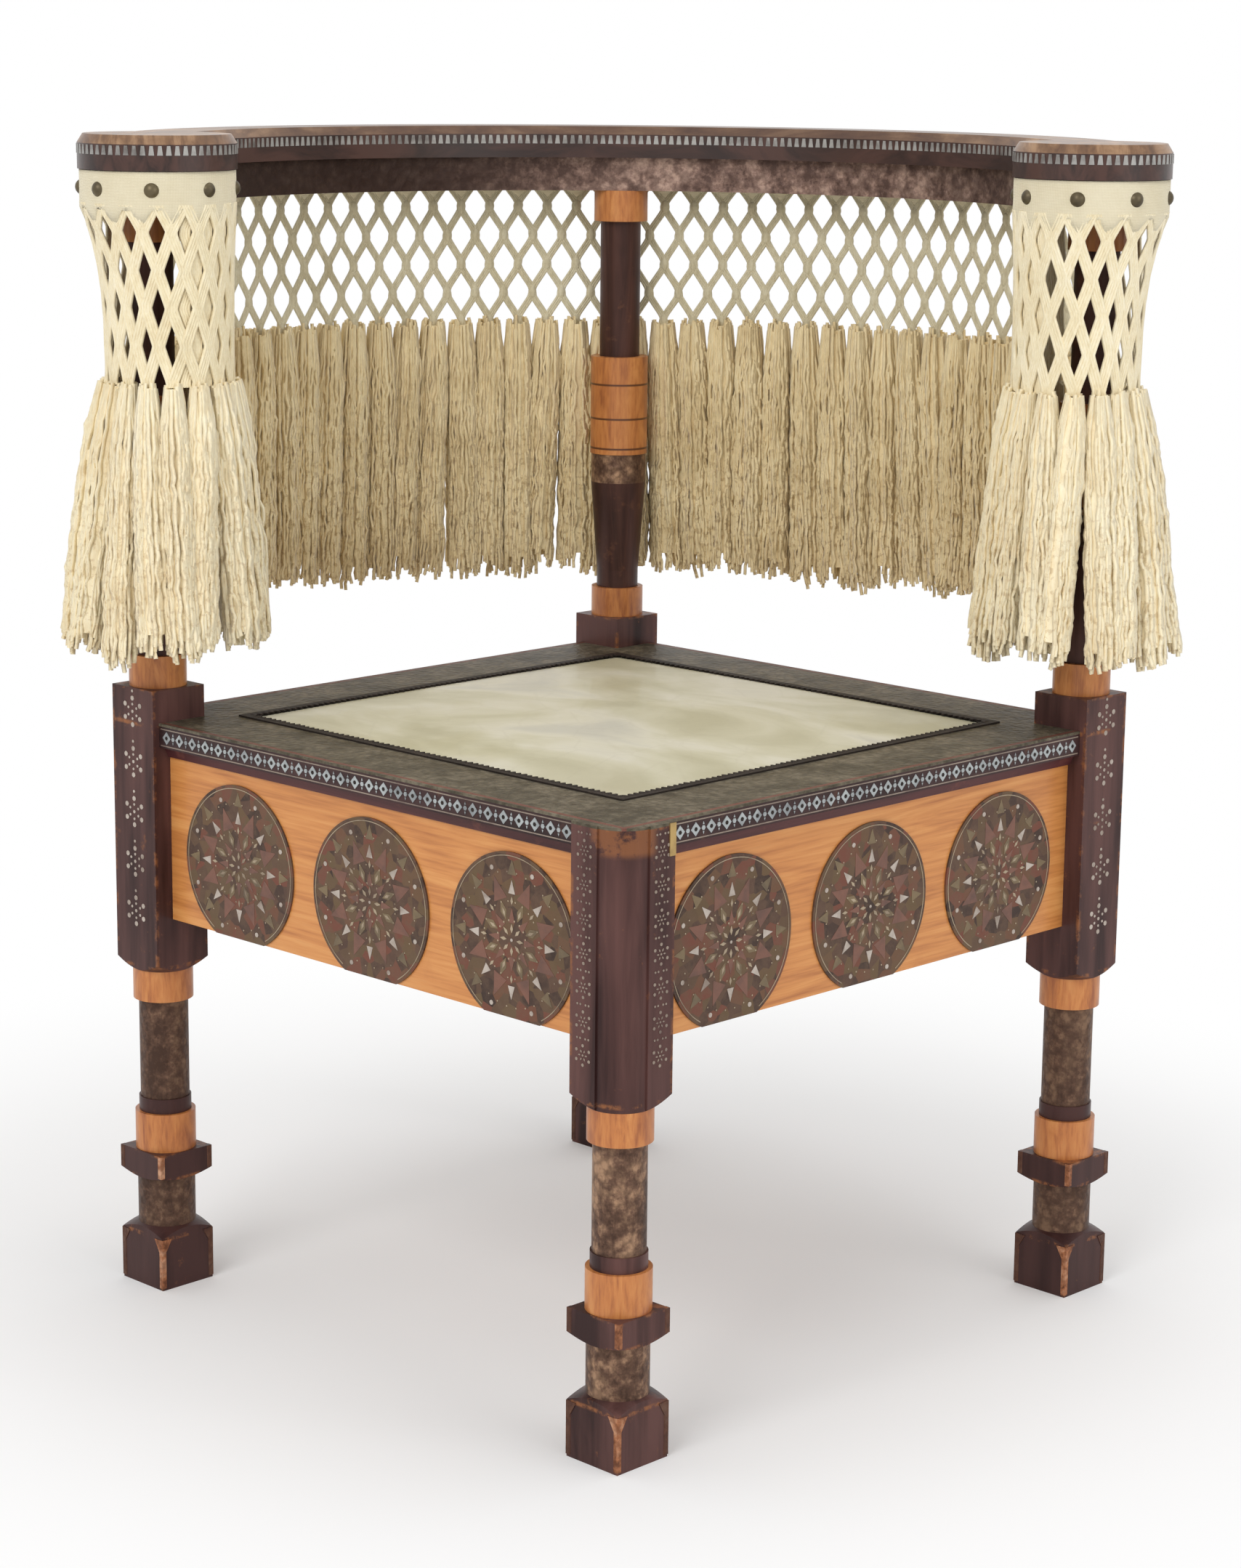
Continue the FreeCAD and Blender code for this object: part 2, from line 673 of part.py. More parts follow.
def hang_panel(face, centre, top_radius, foot_radius, angle, drop):
    """Lean a panel between two radii, turn it to its angle and give it its thickness."""
    solid = face.extrude(Vector(0, size("net_thickness"), 0))
    lean = math.degrees(math.atan2(foot_radius - top_radius, drop))
    solid.rotate(Vector(), Vector(1, 0, 0), lean)
    solid.translate(Vector(0, top_radius, 0))
    solid.rotate(Vector(), UP, math.degrees(angle) - 90.0)
    solid.translate(centre)
    return solid


net_top = apron_bottom - size("soft_gap")
post_panels = COUNTS["post_net_columns"] // COUNTS["panel_columns"]
half_facet = math.pi / post_panels
post_top_radius = (drum_face - size("net_thickness")) * math.cos(half_facet)
post_foot_radius = (size("waist_radius") - size("net_thickness")) * math.cos(half_facet)
leaning_drop = math.hypot(net_depth, post_top_radius - post_foot_radius)
post_face = net_panel(2 * post_top_radius * math.tan(half_facet) - size("soft_gap"),
                      2 * post_foot_radius * math.tan(half_facet) - size("soft_gap"), leaning_drop)
for side, label in ((-1, "net_left"), (1, "net_right")):
    centre = Vector(side * end_centre, 0, net_top)
    shape_node(label, [hang_panel(post_face, centre, post_top_radius, post_foot_radius,
                                  2 * half_facet * turn, net_depth) for turn in range(post_panels)])

back_panels = COUNTS["back_net_columns"] // COUNTS["panel_columns"]
back_step = (math.pi - 2 * arc_start) / back_panels
net_radius = (back_face + size("soft_gap")) / math.cos(back_step / 2)
back_width = 2 * net_radius * math.tan(back_step / 2) - size("soft_gap")
back_face_panel = net_panel(back_width, back_width, net_depth)
shape_node("net_back", [hang_panel(back_face_panel, Vector(0, 0, net_top), net_radius, net_radius,
                                   arc_start + (turn + 0.5) * back_step, net_depth)
                        for turn in range(back_panels)])

# Tassels under the net
tassel_top = net_top - net_depth - size("soft_gap")
tassel_length = tassel_top - size("tall_block_top") - size("tassel_clearance")


def tassel(centre, angle, top_radius, foot_radius):
    """One tapering tassel that hangs from a knot of the net's last row."""
    outward = Vector(math.cos(angle), math.sin(angle), 0)
    head = centre + outward * top_radius
    foot = centre + outward * foot_radius - UP * tassel_length
    fall = foot - head
    return Part.makeCone(size("tassel_top_radius"), size("tassel_foot_radius"), fall.Length, head, fall)


for side, label in ((-1, "fringe_left"), (1, "fringe_right")):
    centre = Vector(side * end_centre, 0, tassel_top)
    step = 2 * math.pi / COUNTS["post_net_columns"]
    shape_node(label, [tassel(centre, (turn + 0.5) * step, size("waist_radius"), size("skirt_radius"))
                       for turn in range(COUNTS["post_net_columns"])])
column_step = (math.pi - 2 * arc_start) / COUNTS["back_net_columns"]
hang_radius = net_radius + size("net_thickness") + size("soft_gap")
shape_node("fringe_back", [tassel(Vector(0, 0, tassel_top), arc_start + (turn + 0.5) * column_step,
                                  hang_radius, hang_radius + size("back_swing"))
                           for turn in range(1, COUNTS["back_net_columns"] - 1)])

# Seat stuffing and the crowned parchment over it
STATIONS = 7
outer_half = (size("post_spacing") + size("post_width")) / 2 - size("border_setback")
pad_half = outer_half - size("border_width") - size("soft_gap")
edge_height = size("seat_top") - size("parchment_drop") - size("parchment_thickness")


def crown(share):
    """Rise of the seat at a share of its half width from the middle."""
    return size("pad_crown") * (1 - share * share) + size("soft_gap")


def arc_over(offset, height, rise):
    """Arc across the seat at one station."""
    return Part.Arc(Vector(offset, -pad_half, height), Vector(offset, 0, height + rise),
                    Vector(offset, pad_half, height)).toShape()


def crowned_solid(low, high, flat_foot):
    """Loft across the seat between two heights."""
    sections = []
    for station in range(STATIONS):
        share = 2.0 * station / (STATIONS - 1) - 1
        offset = share * pad_half
        upper = arc_over(offset, high, crown(share))
        near, far = Vector(offset, -pad_half, low), Vector(offset, pad_half, low)
        lower = Part.makeLine(near, far) if flat_foot else arc_over(offset, low, crown(share))
        sides = [Part.makeLine(near, Vector(offset, -pad_half, high)),
                 Part.makeLine(far, Vector(offset, pad_half, high))]
        sections.append(Part.Wire(Part.__sortEdges__([upper, lower] + sides)))
    solid = Part.makeLoft(sections, True, False)
    solid.rotate(Vector(), UP, SQUARE_TURN)
    return solid


pad_base = size("seat_top") - size("cladding_thickness") - size("border_thickness") + size("soft_gap")
shape_node("seat_pad", [crowned_solid(pad_base, edge_height - size("soft_gap"), True)])
shape_node("seat_parchment", [crowned_solid(edge_height, edge_height + size("parchment_thickness"), False)])

doc.recompute()
faults = [thing.Name for thing in doc.Objects if {"Invalid", "Error"} & set(thing.State)]
if faults:
    raise RuntimeError("objects that failed: %s" % ", ".join(faults))
for thing in nodes:
    if thing.Shape.isNull() or not thing.Shape.isValid() or not thing.Shape.Solids:
        raise RuntimeError("sub-part without a valid solid: %s" % thing.Label)
labels = [thing.Label for thing in nodes]
if len(set(labels)) != len(labels):
    raise RuntimeError("two sub-parts share a name")
for thing in nodes:
    thing.Shape.exportStep("parts/%s.step" % thing.Label)
print(len(nodes), "sub-parts written")
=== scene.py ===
"""Looks of a corner chair: dark inlaid wood, copper, parchment and a knotted hanging with tassels."""

import logging
import math
import random
from collections.abc import Callable, Iterable, Sequence
from dataclasses import dataclass, field
from enum import Enum

import bmesh
import bpy
from mathutils import Matrix, Vector, noise


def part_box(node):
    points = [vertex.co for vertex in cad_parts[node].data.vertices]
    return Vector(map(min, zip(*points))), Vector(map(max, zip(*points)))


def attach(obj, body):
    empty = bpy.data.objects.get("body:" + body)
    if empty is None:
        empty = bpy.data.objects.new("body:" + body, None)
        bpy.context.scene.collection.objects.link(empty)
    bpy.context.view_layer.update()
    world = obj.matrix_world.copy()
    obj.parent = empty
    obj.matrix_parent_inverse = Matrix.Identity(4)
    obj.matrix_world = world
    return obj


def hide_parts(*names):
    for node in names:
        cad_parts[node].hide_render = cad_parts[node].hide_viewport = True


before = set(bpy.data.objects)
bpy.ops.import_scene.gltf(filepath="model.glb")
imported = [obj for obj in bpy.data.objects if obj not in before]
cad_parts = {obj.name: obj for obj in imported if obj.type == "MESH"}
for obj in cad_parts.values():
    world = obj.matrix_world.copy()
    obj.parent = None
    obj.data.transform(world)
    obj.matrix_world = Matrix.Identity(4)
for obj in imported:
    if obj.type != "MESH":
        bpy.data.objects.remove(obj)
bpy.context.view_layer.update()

log = logging.getLogger("corner_chair")
MM = 0.001
UP = Vector((0.0, 0.0, 1.0))
BODY = "root"
PHOTO_WIDTH = 1708
PHOTO_HEIGHT = 2158
# Angle between the sides of the seat and the front of the chair.
SEAT_TURN = math.radians(45.0)
# Distance from the middle of the chair to the middle of a post.
POST_REACH = 0.2892
# Specular level of the old dark surfaces.
DARK_GLOSS = 0.16
# Height from the middle of a disc, in millimetres, at which its panel cuts it off.
LOWEST_INLAY = -43.5

Socket = bpy.types.NodeSocket
Colour = tuple[float, float, float]
Point2 = tuple[float, float]


class Value:
    """A number socket that can be used in Python expressions."""

    def __init__(self, graph: "Graph", socket: Socket) -> None:
        """Wrap a socket of a graph.

        Args:
            graph: the graph that holds the socket.
            socket: the socket.
        """
        self.graph = graph
        self.socket = socket

    def _math(self, operation: str, *others: "Value | float") -> "Value":
        """Add one Math node.

        Args:
            operation: the Math node's operation.
            others: the further operands.

        Returns:
            The node's result.
        """
        return self.graph.value("ShaderNodeMath", {"operation": operation}, self, *others)

    def __add__(self, other: "Value | float") -> "Value":
        """Sum."""
        return self._math("ADD", other)

    __radd__ = __add__

    def __sub__(self, other: "Value | float") -> "Value":
        """Difference."""
        return self._math("SUBTRACT", other)

    def __rsub__(self, other: "Value | float") -> "Value":
        """Difference from a number."""
        return self.graph.value("ShaderNodeMath", {"operation": "SUBTRACT"}, other, self)

    def __mul__(self, other: "Value | float") -> "Value":
        """Product."""
        return self._math("MULTIPLY", other)

    __rmul__ = __mul__

    def __truediv__(self, other: "Value | float") -> "Value":
        """Quotient."""
        return self._math("DIVIDE", other)

    def __abs__(self) -> "Value":
        """Size without its sign."""
        return self._math("ABSOLUTE")

    def sine(self) -> "Value":
        """Sine of an angle."""
        return self._math("SINE")

    def whole(self) -> "Value":
        """The nearest whole number."""
        return self._math("ROUND")

    def bearing(self, x: "Value") -> "Value":
        """Angle whose tangent is this over x."""
        return self._math("ARCTAN2", x)

    def top(self, other: "Value | float") -> "Value":
        """The greater of two."""
        return self._math("MAXIMUM", other)

    def least(self, other: "Value | float") -> "Value":
        """The lesser of two."""
        return self._math("MINIMUM", other)

    def step(self, low: float, high: float) -> "Value":
        """Rise smoothly from 0 at low to 1 at high."""
        settings = {"interpolation_type": "SMOOTHSTEP"}
        return self.graph.value("ShaderNodeMapRange", settings, self, low, high)

    def near(self, middle: float, reach: float, soft: float) -> "Value":
        """1 within a reach of a middle, with a soft edge."""
        return 1.0 - abs(self - middle).step(reach, reach + soft)


class Graph:
    """A node tree with one method for every kind of node."""

    def __init__(self, tree: bpy.types.NodeTree) -> None:
        """Hold the tree."""
        self.tree = tree

    def node(self, kind: str, settings: dict | None = None, *inputs: object,
             **named: object) -> bpy.types.Node:
        """Add a node, set what it is, then fill its sockets.

        Args:
            kind: the node's type.
            settings: attributes to set first; "stops" fills a colour ramp.
            inputs: values or sockets, in the order of the node's inputs; None skips one.
            named: values or sockets by the input's name, with spaces as underscores.

        Returns:
            The node.
        """
        made = self.tree.nodes.new(kind)
        for key, value in (settings or {}).items():
            if key == "stops":
                self._fill_ramp(made.color_ramp, value)
            else:
                setattr(made, key, value)
        sockets = [s for s in made.inputs if s.enabled]
        for socket, value in zip(sockets, inputs):
            self._put(socket, value)
        for key, value in named.items():
            self._put(next(s for s in sockets if s.name == key.replace("_", " ")), value)
        return made

    def value(self, kind: str, settings: dict | None = None, *inputs: object, **named: object) -> Value:
        """Add a node and wrap its first live output."""
        made = self.node(kind, settings, *inputs, **named)
        return Value(self, next(s for s in made.outputs if s.enabled))

    def vector(self, operation: str, *inputs: object, **named: object) -> Value:
        """Add one Vector Math node."""
        return self.value("ShaderNodeVectorMath", {"operation": operation}, *inputs, **named)

    def scaled(self, vector: Value, amount: Value | float) -> Value:
        """A vector times a number."""
        return self.vector("SCALE", vector, Scale=amount)

    def feed(self, made: bpy.types.Node, name: str, value: object) -> None:
        """Fill one input by its name, also where the node still hides it."""
        self._put(next(s for s in made.inputs if s.name == name), value)

    def _put(self, socket: Socket, value: object) -> None:
        """Link or set one input.

        Args:
            socket: the input.
            value: a value or socket to link, a number or colour to set, or None.
        """
        if value is None:
            return
        if isinstance(value, Value):
            value = value.socket
        if isinstance(value, bpy.types.NodeSocket):
            self.tree.links.new(value, socket)
        elif socket.type == "RGBA" and len(value) == 3:
            socket.default_value = (*value, 1.0)
        else:
            socket.default_value = value

    @staticmethod
    def _fill_ramp(ramp: bpy.types.ColorRamp, stops: Sequence[tuple[float, Colour]]) -> None:
        """Give a colour ramp its stops.

        Args:
            ramp: the ramp.
            stops: place and colour of each stop.
        """
        while len(ramp.elements) < len(stops):
            ramp.elements.new(1.0)
        for element, (place, colour) in zip(ramp.elements, stops):
            element.position = place
            element.color = (*colour, 1.0)


class Shader(Graph):
    """Node graph of one material."""

    def __init__(self, name: str) -> None:
        """Start a material with nothing in its tree but the output.

        Args:
            name: the material's name.
        """
        self.material = bpy.data.materials.new(name)
        self.material.use_nodes = True
        super().__init__(self.material.node_tree)
        self.tree.nodes.clear()
        self.output = self.node("ShaderNodeOutputMaterial")

    def place(self, scale: Sequence[float] = (1, 1, 1), turn: float = 0.0) -> Value:
        """Object coordinates, turned about Z and scaled."""
        where = self.node("ShaderNodeTexCoord").outputs["Object"]
        return self.value("ShaderNodeMapping", None, where, None, (0.0, 0.0, turn), tuple(scale))

    def split(self, vector: Value) -> tuple[Value, Value, Value]:
        """The three parts of a vector."""
        made = self.node("ShaderNodeSeparateXYZ", None, vector)
        return tuple(Value(self, s) for s in made.outputs)

    def join(self, x: Value | float, y: Value | float, z: Value | float) -> Value:
        """A vector from three parts."""
        return self.value("ShaderNodeCombineXYZ", None, x, y, z)

    def noise(self, where: Value, scale: float, detail: float = 3.0, rough: float = 0.55,
              warp: float = 0.0) -> Value:
        """Soft random pattern."""
        return self.value("ShaderNodeTexNoise", None, where, Scale=scale, Detail=detail,
                          Roughness=rough, Distortion=warp)

    def cells(self, where: Value, scale: float, feature: str = "F1") -> Value:
        """Distance inside random cells."""
        return self.value("ShaderNodeTexVoronoi", {"feature": feature}, where, Scale=scale)

    def ramp(self, fac: Value, *stops: tuple[float, Colour]) -> Value:
        """Colours along a number."""
        return self.value("ShaderNodeValToRGB", {"stops": stops}, fac)

    def reach(self, x: Value, y: Value) -> Value:
        """Distance from an upright line."""
        made = self.node("ShaderNodeVectorMath", {"operation": "LENGTH"}, self.join(x, y, 0.0))
        return Value(self, made.outputs["Value"])

    def mix(self, fac: Value, low: Value | Colour, high: Value | Colour) -> Value:
        """Blend two colours."""
        made = self.node("ShaderNodeMix", {"data_type": "RGBA"}, fac, low, high)
        return Value(self, next(s for s in made.outputs if s.enabled))

    def bump(self, height: Value, strength: float, distance: float) -> Value:
        """Normal from a height."""
        return self.value("ShaderNodeBump", None, Strength=strength, Distance=distance, Height=height)

    def finish(self, **sockets: object) -> bpy.types.Material:
        """Close the graph with a Principled shader.

        Args:
            sockets: values or links of the shader's inputs, with spaces as underscores.

        Returns:
            The material.
        """
        shader = self.node("ShaderNodeBsdfPrincipled", None, **sockets)
        self.tree.links.new(shader.outputs[0], self.output.inputs["Surface"])
        return self.material


class Grain(Enum):
    """Which way the grain of a wooden piece runs."""

    UPRIGHT = "upright"
    LEVEL = "level"


@dataclass(frozen=True)
class Finish:
    """Base of every finish: a name and a way to make its material."""

    name: str

    def material(self) -> bpy.types.Material:
        """The material of this finish, made once."""
        label = f"finish_{self.name}"
        return bpy.data.materials.get(label) or self.paint(Shader(label))

    def paint(self, s: Shader) -> bpy.types.Material:
        """Fill the graph.

        Args:
            s: the material's empty graph.

        Returns:
            The material.
        """
        raise NotImplementedError


@dataclass(frozen=True)
class Wood(Finish):
    """Polished wood with grain, pores and rubbed places."""

    deep: Colour
    main: Colour
    worn: Colour
    grain: Grain = Grain.UPRIGHT
    roughness: float = 0.34
    coat: float = 0.25
    wear: float = 0.5

    def paint(self, s: Shader) -> bpy.types.Material:
        """Streaked grain, a slow change of tone, and light rubbed patches.

        Args:
            s: the material's empty graph.

        Returns:
            The material.
        """
        where = s.place()
        x, y, z = s.split(where)
        if self.grain is Grain.UPRIGHT:
            run = s.join(x * 90.0, y * 90.0, z * 7.0)
        else:
            tx, ty, _ = s.split(s.place(turn=SEAT_TURN))
            run = s.join(tx * 5.0, ty * 5.0, z * 95.0)
        streak = s.noise(run, 1.0, 5.0, 0.6, 1.2)
        slow = s.noise(where, 16.0, 3.0)
        tone = s.ramp(streak * 0.7 + slow * 0.3, (0.3, self.deep), (0.62, self.main))
        rubbed = s.noise(where, 55.0, 4.0, 0.7).step(0.56, 0.74) * self.wear
        colour = s.mix(rubbed, tone, self.worn)
        rough = self.roughness + streak * 0.14 + rubbed * 0.1
        return s.finish(Base_Color=colour, Roughness=rough, Coat_Weight=self.coat, Coat_Roughness=0.25,
                        Specular_IOR_Level=DARK_GLOSS, Normal=s.bump(streak, 0.25, 0.0006))


@dataclass(frozen=True)
class PostWood(Finish):
    """Dark wood of the four posts, rubbed to orange along its corners and shoulders, with painted shade low
    on the two side posts.
    """

    deep: Colour = (0.034, 0.014, 0.013)
    main: Colour = (0.120, 0.054, 0.047)
    rubbed: Colour = (0.33, 0.125, 0.045)
    reach: float = POST_REACH
    ridge: float = 0.0286
    levels: tuple[float, ...] = (0.034, 0.0725, 0.0895, 0.2125, 0.3688, 0.391)
    crown_rise: tuple[float, float] = (0.3520, 0.3570)
    crown_front: tuple[float, float] = (0.298, 0.303)
    # Painted shade on the two side posts: the sideways distance where it starts, then the height where it
    # stops.
    side_posts: tuple[float, float] = (0.15, 0.20)
    shade_ends: tuple[float, float] = (0.190, 0.200)

    def paint(self, s: Shader) -> bpy.types.Material:
        """Upright grain, plum and black clouds, wear on the corners of each post, and painted shade on the
        lower part of the side posts.

        Args:
            s: the material's empty graph.

        Returns:
            The material.
        """
        where = s.place()
        x, y, z = s.split(where)
        streak = s.noise(s.join(x * 110.0, y * 110.0, z * 7.0), 1.0, 5.0, 0.62, 1.0)
        cloud = s.noise(s.join(x, y, z * 0.14), 42.0, 3.0, 0.5)
        tone = s.ramp(streak * 0.25 + cloud * 0.75, (0.36, self.deep), (0.58, self.main))
        u, v = abs(x), abs(y)
        corner = abs(u.top(v) - self.reach).top(u.least(v)).step(self.ridge - 0.0020, self.ridge - 0.0002)
        for height in self.levels:
            corner = corner.top(z.near(height, 0.0004, 0.0016))
        patchy = s.noise(where, 75.0, 5.0, 0.72)
        worn = corner * patchy.step(0.48, 0.62) * 0.7 + patchy.step(0.62, 0.74) * 0.4
        crown = z.step(*self.crown_rise) * (0.0 - y).step(*self.crown_front) * patchy.step(0.36, 0.50)
        # Painted shade: the two side posts are darkened towards the deep tone on their lower part.
        painted_leg_shade = abs(x).step(*self.side_posts) * (1.0 - z.step(*self.shade_ends)) * 0.6
        colour = s.mix(worn.top(crown * 0.55), s.mix(painted_leg_shade, tone, self.deep), self.rubbed)
        return s.finish(Base_Color=colour, Roughness=0.30 + streak * 0.16, Coat_Weight=0.06,
                        Coat_Roughness=0.2, Specular_IOR_Level=DARK_GLOSS,
                        Normal=s.bump(streak * 0.7 + patchy * 0.3, 0.25, 0.0006))


@dataclass(frozen=True)
class FruitWood(Finish):
    """Orange-tan wood with a lively flame figure, for the rails and the rings."""

    pale: Colour
    main: Colour
    deep: Colour
    grain: Grain = Grain.UPRIGHT
    lines: tuple[float, ...] = ()

    def paint(self, s: Shader) -> bpy.types.Material:
        """Wavy figure, fine pores and old darker stains.

        Args:
            s: the material's empty graph.

        Returns:
            The material.
        """
        tx, ty, z = s.split(s.place(turn=SEAT_TURN))
        level = self.grain is Grain.LEVEL
        long_way = (tx + ty) * 7.0 if level else z * 22.0
        cross = z * 100.0 if level else (tx + ty * 0.7) * 80.0
        figure = s.noise(s.join(long_way, cross, 0.3), 1.0, 4.0, 0.55, 1.2)
        pores = s.noise(s.join(long_way * 3.0, cross * 5.0, 0.0), 1.0, 3.0)
        tone = s.ramp(figure * 0.6 + pores * 0.4, (0.34, self.deep), (0.5, self.main), (0.66, self.pale))
        colour = s.mix(pores.step(0.55, 0.8) * 0.35, tone, self.deep)
        stain = s.noise(s.place(), 28.0, 4.0, 0.65).step(0.6, 0.82)
        colour = s.mix(stain * 0.45, colour, self.deep)
        dark = tuple(c * 0.35 for c in self.deep)
        for height in self.lines:
            colour = s.mix(z.near(height, 0.0004, 0.0006), colour, dark)
        return s.finish(Base_Color=colour, Roughness=0.34 + figure * 0.12, Coat_Weight=0.15,
                        Coat_Roughness=0.22, Specular_IOR_Level=0.4, Normal=s.bump(pores, 0.12, 0.0005))


@dataclass(frozen=True)
class BeatenMetal(Finish):
    """Thin hammered sheet with dark hollows and rubbed bright places."""

    dark: Colour
    main: Colour
    bright: Colour
    dent: float
    metallic: float = 0.75
    red_edge: bool = False
    painted_shade_off_front: bool = False
    painted_end_shade: bool = False
    painted_side_shade: bool = False
    drawn: float = 1.0
    # Ranges of the painted shade: the side posts, the lit run, and the front of each post.
    side_posts: tuple[float, float] = (0.15, 0.20)
    lit_run: tuple[float, float, float] = (0.085, 0.07, 0.16)
    edge_run: tuple[float, float, float] = (0.2172, 0.0012, 0.0008)
    front_run: tuple[float, float] = (-0.024, -0.019)

    def paint(self, s: Shader) -> bpy.types.Material:
        """Dents, tarnish and rubbed high spots, with painted shade where a finish asks for it.

        Args:
            s: the material's empty graph.

        Returns:
            The material.
        """
        where = s.place()
        x = s.split(where)[0]
        dents = s.cells(where, 1.0 / self.dent)
        patch = s.noise(s.place((1.0, 1.0, self.drawn)), 45.0, 5.0, 0.68)
        fleck = s.noise(where, 170.0, 4.0, 0.7)
        tone = s.ramp(patch * 0.6 + fleck * 0.4, (0.42, self.dark), (0.50, self.main), (0.60, self.bright))
        colour = s.mix(dents.step(0.35, 0.75) * 0.5, tone, self.dark)
        # Painted shade: the parts on the two side posts are darkened in patches.
        if self.painted_side_shade:
            colour = s.mix(abs(x).step(*self.side_posts) * patch.step(0.40, 0.55) * 0.55, colour, self.dark)
        # Painted shade: near black everywhere but a lit run along x.
        if self.painted_end_shade:
            colour = s.mix((1.0 - x.near(*self.lit_run)) * 0.92, colour, (0.028, 0.014, 0.010))
        if self.red_edge:
            tx, ty, _ = s.split(s.place(turn=SEAT_TURN))
            edge = abs(tx).top(abs(ty))
            colour = s.mix(edge.near(*self.edge_run) * 0.8, colour, (0.19, 0.065, 0.05))
        # Painted shade: darker everywhere but the faces towards the front of each post.
        if self.painted_shade_off_front:
            y = s.split(where)[1]
            post = (y / POST_REACH).whole() * POST_REACH
            colour = s.mix((y - post).step(*self.front_run) * 0.85, colour, (0.075, 0.038, 0.030))
        return s.finish(Base_Color=colour, Metallic=self.metallic, Roughness=0.34 + fleck * 0.25,
                        Specular_IOR_Level=DARK_GLOSS,
                        Normal=s.bump(dents * 0.6 + fleck * 0.4, 0.8, 0.0012))


@dataclass(frozen=True)
class PlainMetal(Finish):
    """Small pieces of metal or bone, let into the wood."""

    main: Colour
    dull: Colour
    metallic: float
    roughness: float

    def paint(self, s: Shader) -> bpy.types.Material:
        """Slight tarnish that differs from piece to piece.

        Args:
            s: the material's empty graph.

        Returns:
            The material.
        """
        where = s.place()
        spots = s.noise(where, 120.0, 4.0, 0.6)
        slow = s.noise(where, 24.0, 2.0)
        colour = s.mix((spots * 0.6 + slow * 0.6).step(0.45, 0.85), self.main, self.dull)
        return s.finish(Base_Color=colour, Metallic=self.metallic, Roughness=self.roughness + spots * 0.15,
                        Normal=s.bump(spots, 0.15, 0.0003))


@dataclass(frozen=True)
class DiscVeneer(Finish):
    """Dark veneer of the round panels, pieced from many toned woods."""

    def paint(self, s: Shader) -> bpy.types.Material:
        """Pieced patches of near-black, red-brown and olive.

        Args:
            s: the material's empty graph.

        Returns:
            The material.
        """
        where = s.place()
        patch = s.node("ShaderNodeTexVoronoi", None, where, Scale=130.0)
        random_tone = s.split(Value(s, patch.outputs["Color"]))[0]
        tone = s.ramp(random_tone, (0.0, (0.048, 0.028, 0.021)), (0.35, (0.105, 0.057, 0.038)),
                      (0.65, (0.135, 0.086, 0.042)), (0.88, (0.170, 0.060, 0.038)))
        soft = s.noise(where, 90.0, 4.0, 0.7)
        colour = s.mix(soft.step(0.40, 0.62) * 0.4, tone, (0.150, 0.092, 0.058))
        return s.finish(Base_Color=colour, Roughness=0.3 + soft * 0.2, Coat_Weight=0.08,
                        Coat_Roughness=0.2, Specular_IOR_Level=DARK_GLOSS, Normal=s.bump(soft, 0.15, 0.0005))


@dataclass(frozen=True)
class Parchment(Finish):
    """Stretched skin: cream with grey-green clouds and fine veins."""

    rim: tuple[float, float] = (0.152, 0.167)

    def paint(self, s: Shader) -> bpy.types.Material:
        """Clouds, veins and a darker rim.

        Args:
            s: the material's empty graph.

        Returns:
            The material.
        """
        tx, ty, _ = s.split(s.place(turn=SEAT_TURN))
        cloud = s.noise(s.join(tx, ty * 1.5, 0.0), 7.5, 4.0, 0.5, 0.6)
        tone = s.ramp(cloud, (0.36, (0.47, 0.44, 0.30)), (0.46, (0.57, 0.54, 0.395)),
                      (0.55, (0.66, 0.63, 0.51)), (0.65, (0.56, 0.54, 0.455)))
        green = s.noise(s.join(tx * 2.2, ty * 0.7, 1.0), 5.0, 3.0, 0.5, 0.9).step(0.52, 0.66)
        colour = s.mix(green * 0.35, tone, (0.48, 0.44, 0.27))
        veins = s.cells(s.place(), 34.0, "DISTANCE_TO_EDGE")
        colour = s.mix((1.0 - veins.step(0.0, 0.05)) * 0.10, colour, (0.40, 0.36, 0.26))
        rim = abs(tx).top(abs(ty)).step(*self.rim)
        colour = s.mix(rim * 0.25, colour, (0.42, 0.38, 0.27))
        fine = s.noise(s.place(), 260.0, 3.0)
        return s.finish(Base_Color=colour, Roughness=0.42 + fine * 0.12, Coat_Weight=0.08,
                        Normal=s.bump(cloud * 0.6 + fine * 0.4, 0.25, 0.0012))


@dataclass(frozen=True)
class Yarn(Finish):
    """Cream silk and cotton yarn, twisted and a little uneven."""

    pale: Colour
    main: Colour
    shade: Colour
    twist: float
    crimp_shade: float = 0.0
    crimp_shade_share: Colour = (0.66, 0.56, 0.42)

    def paint(self, s: Shader) -> bpy.types.Material:
        """Fibres, slow change of tone, painted shade in flecks between crimps, and soft sheen.

        Args:
            s: the material's empty graph.

        Returns:
            The material.
        """
        where = s.place()
        x, y, z = s.split(where)
        fibre = s.noise(s.join(x, y, z * 0.35), self.twist, 4.0, 0.7)
        slow = s.noise(where, 22.0, 3.0)
        tone = s.ramp(fibre * 0.55 + slow * 0.45, (0.34, self.shade), (0.5, self.main), (0.64, self.pale))
        if self.crimp_shade:
            # Painted shade: dark flecks between the crimps, only low down.
            fleck = s.noise(where, 290.0, 3.0, 0.6).step(0.52, 0.64) * (1.0 - z.step(0.46, 0.60))
            dark = tuple(c * d for c, d in zip(self.shade, self.crimp_shade_share))
            tone = s.mix(fleck * self.crimp_shade, tone, dark)
        return s.finish(Base_Color=tone, Roughness=0.78, Sheen_Weight=0.25, Sheen_Roughness=0.5,
                        Normal=s.bump(fibre, 0.4, 0.0009))


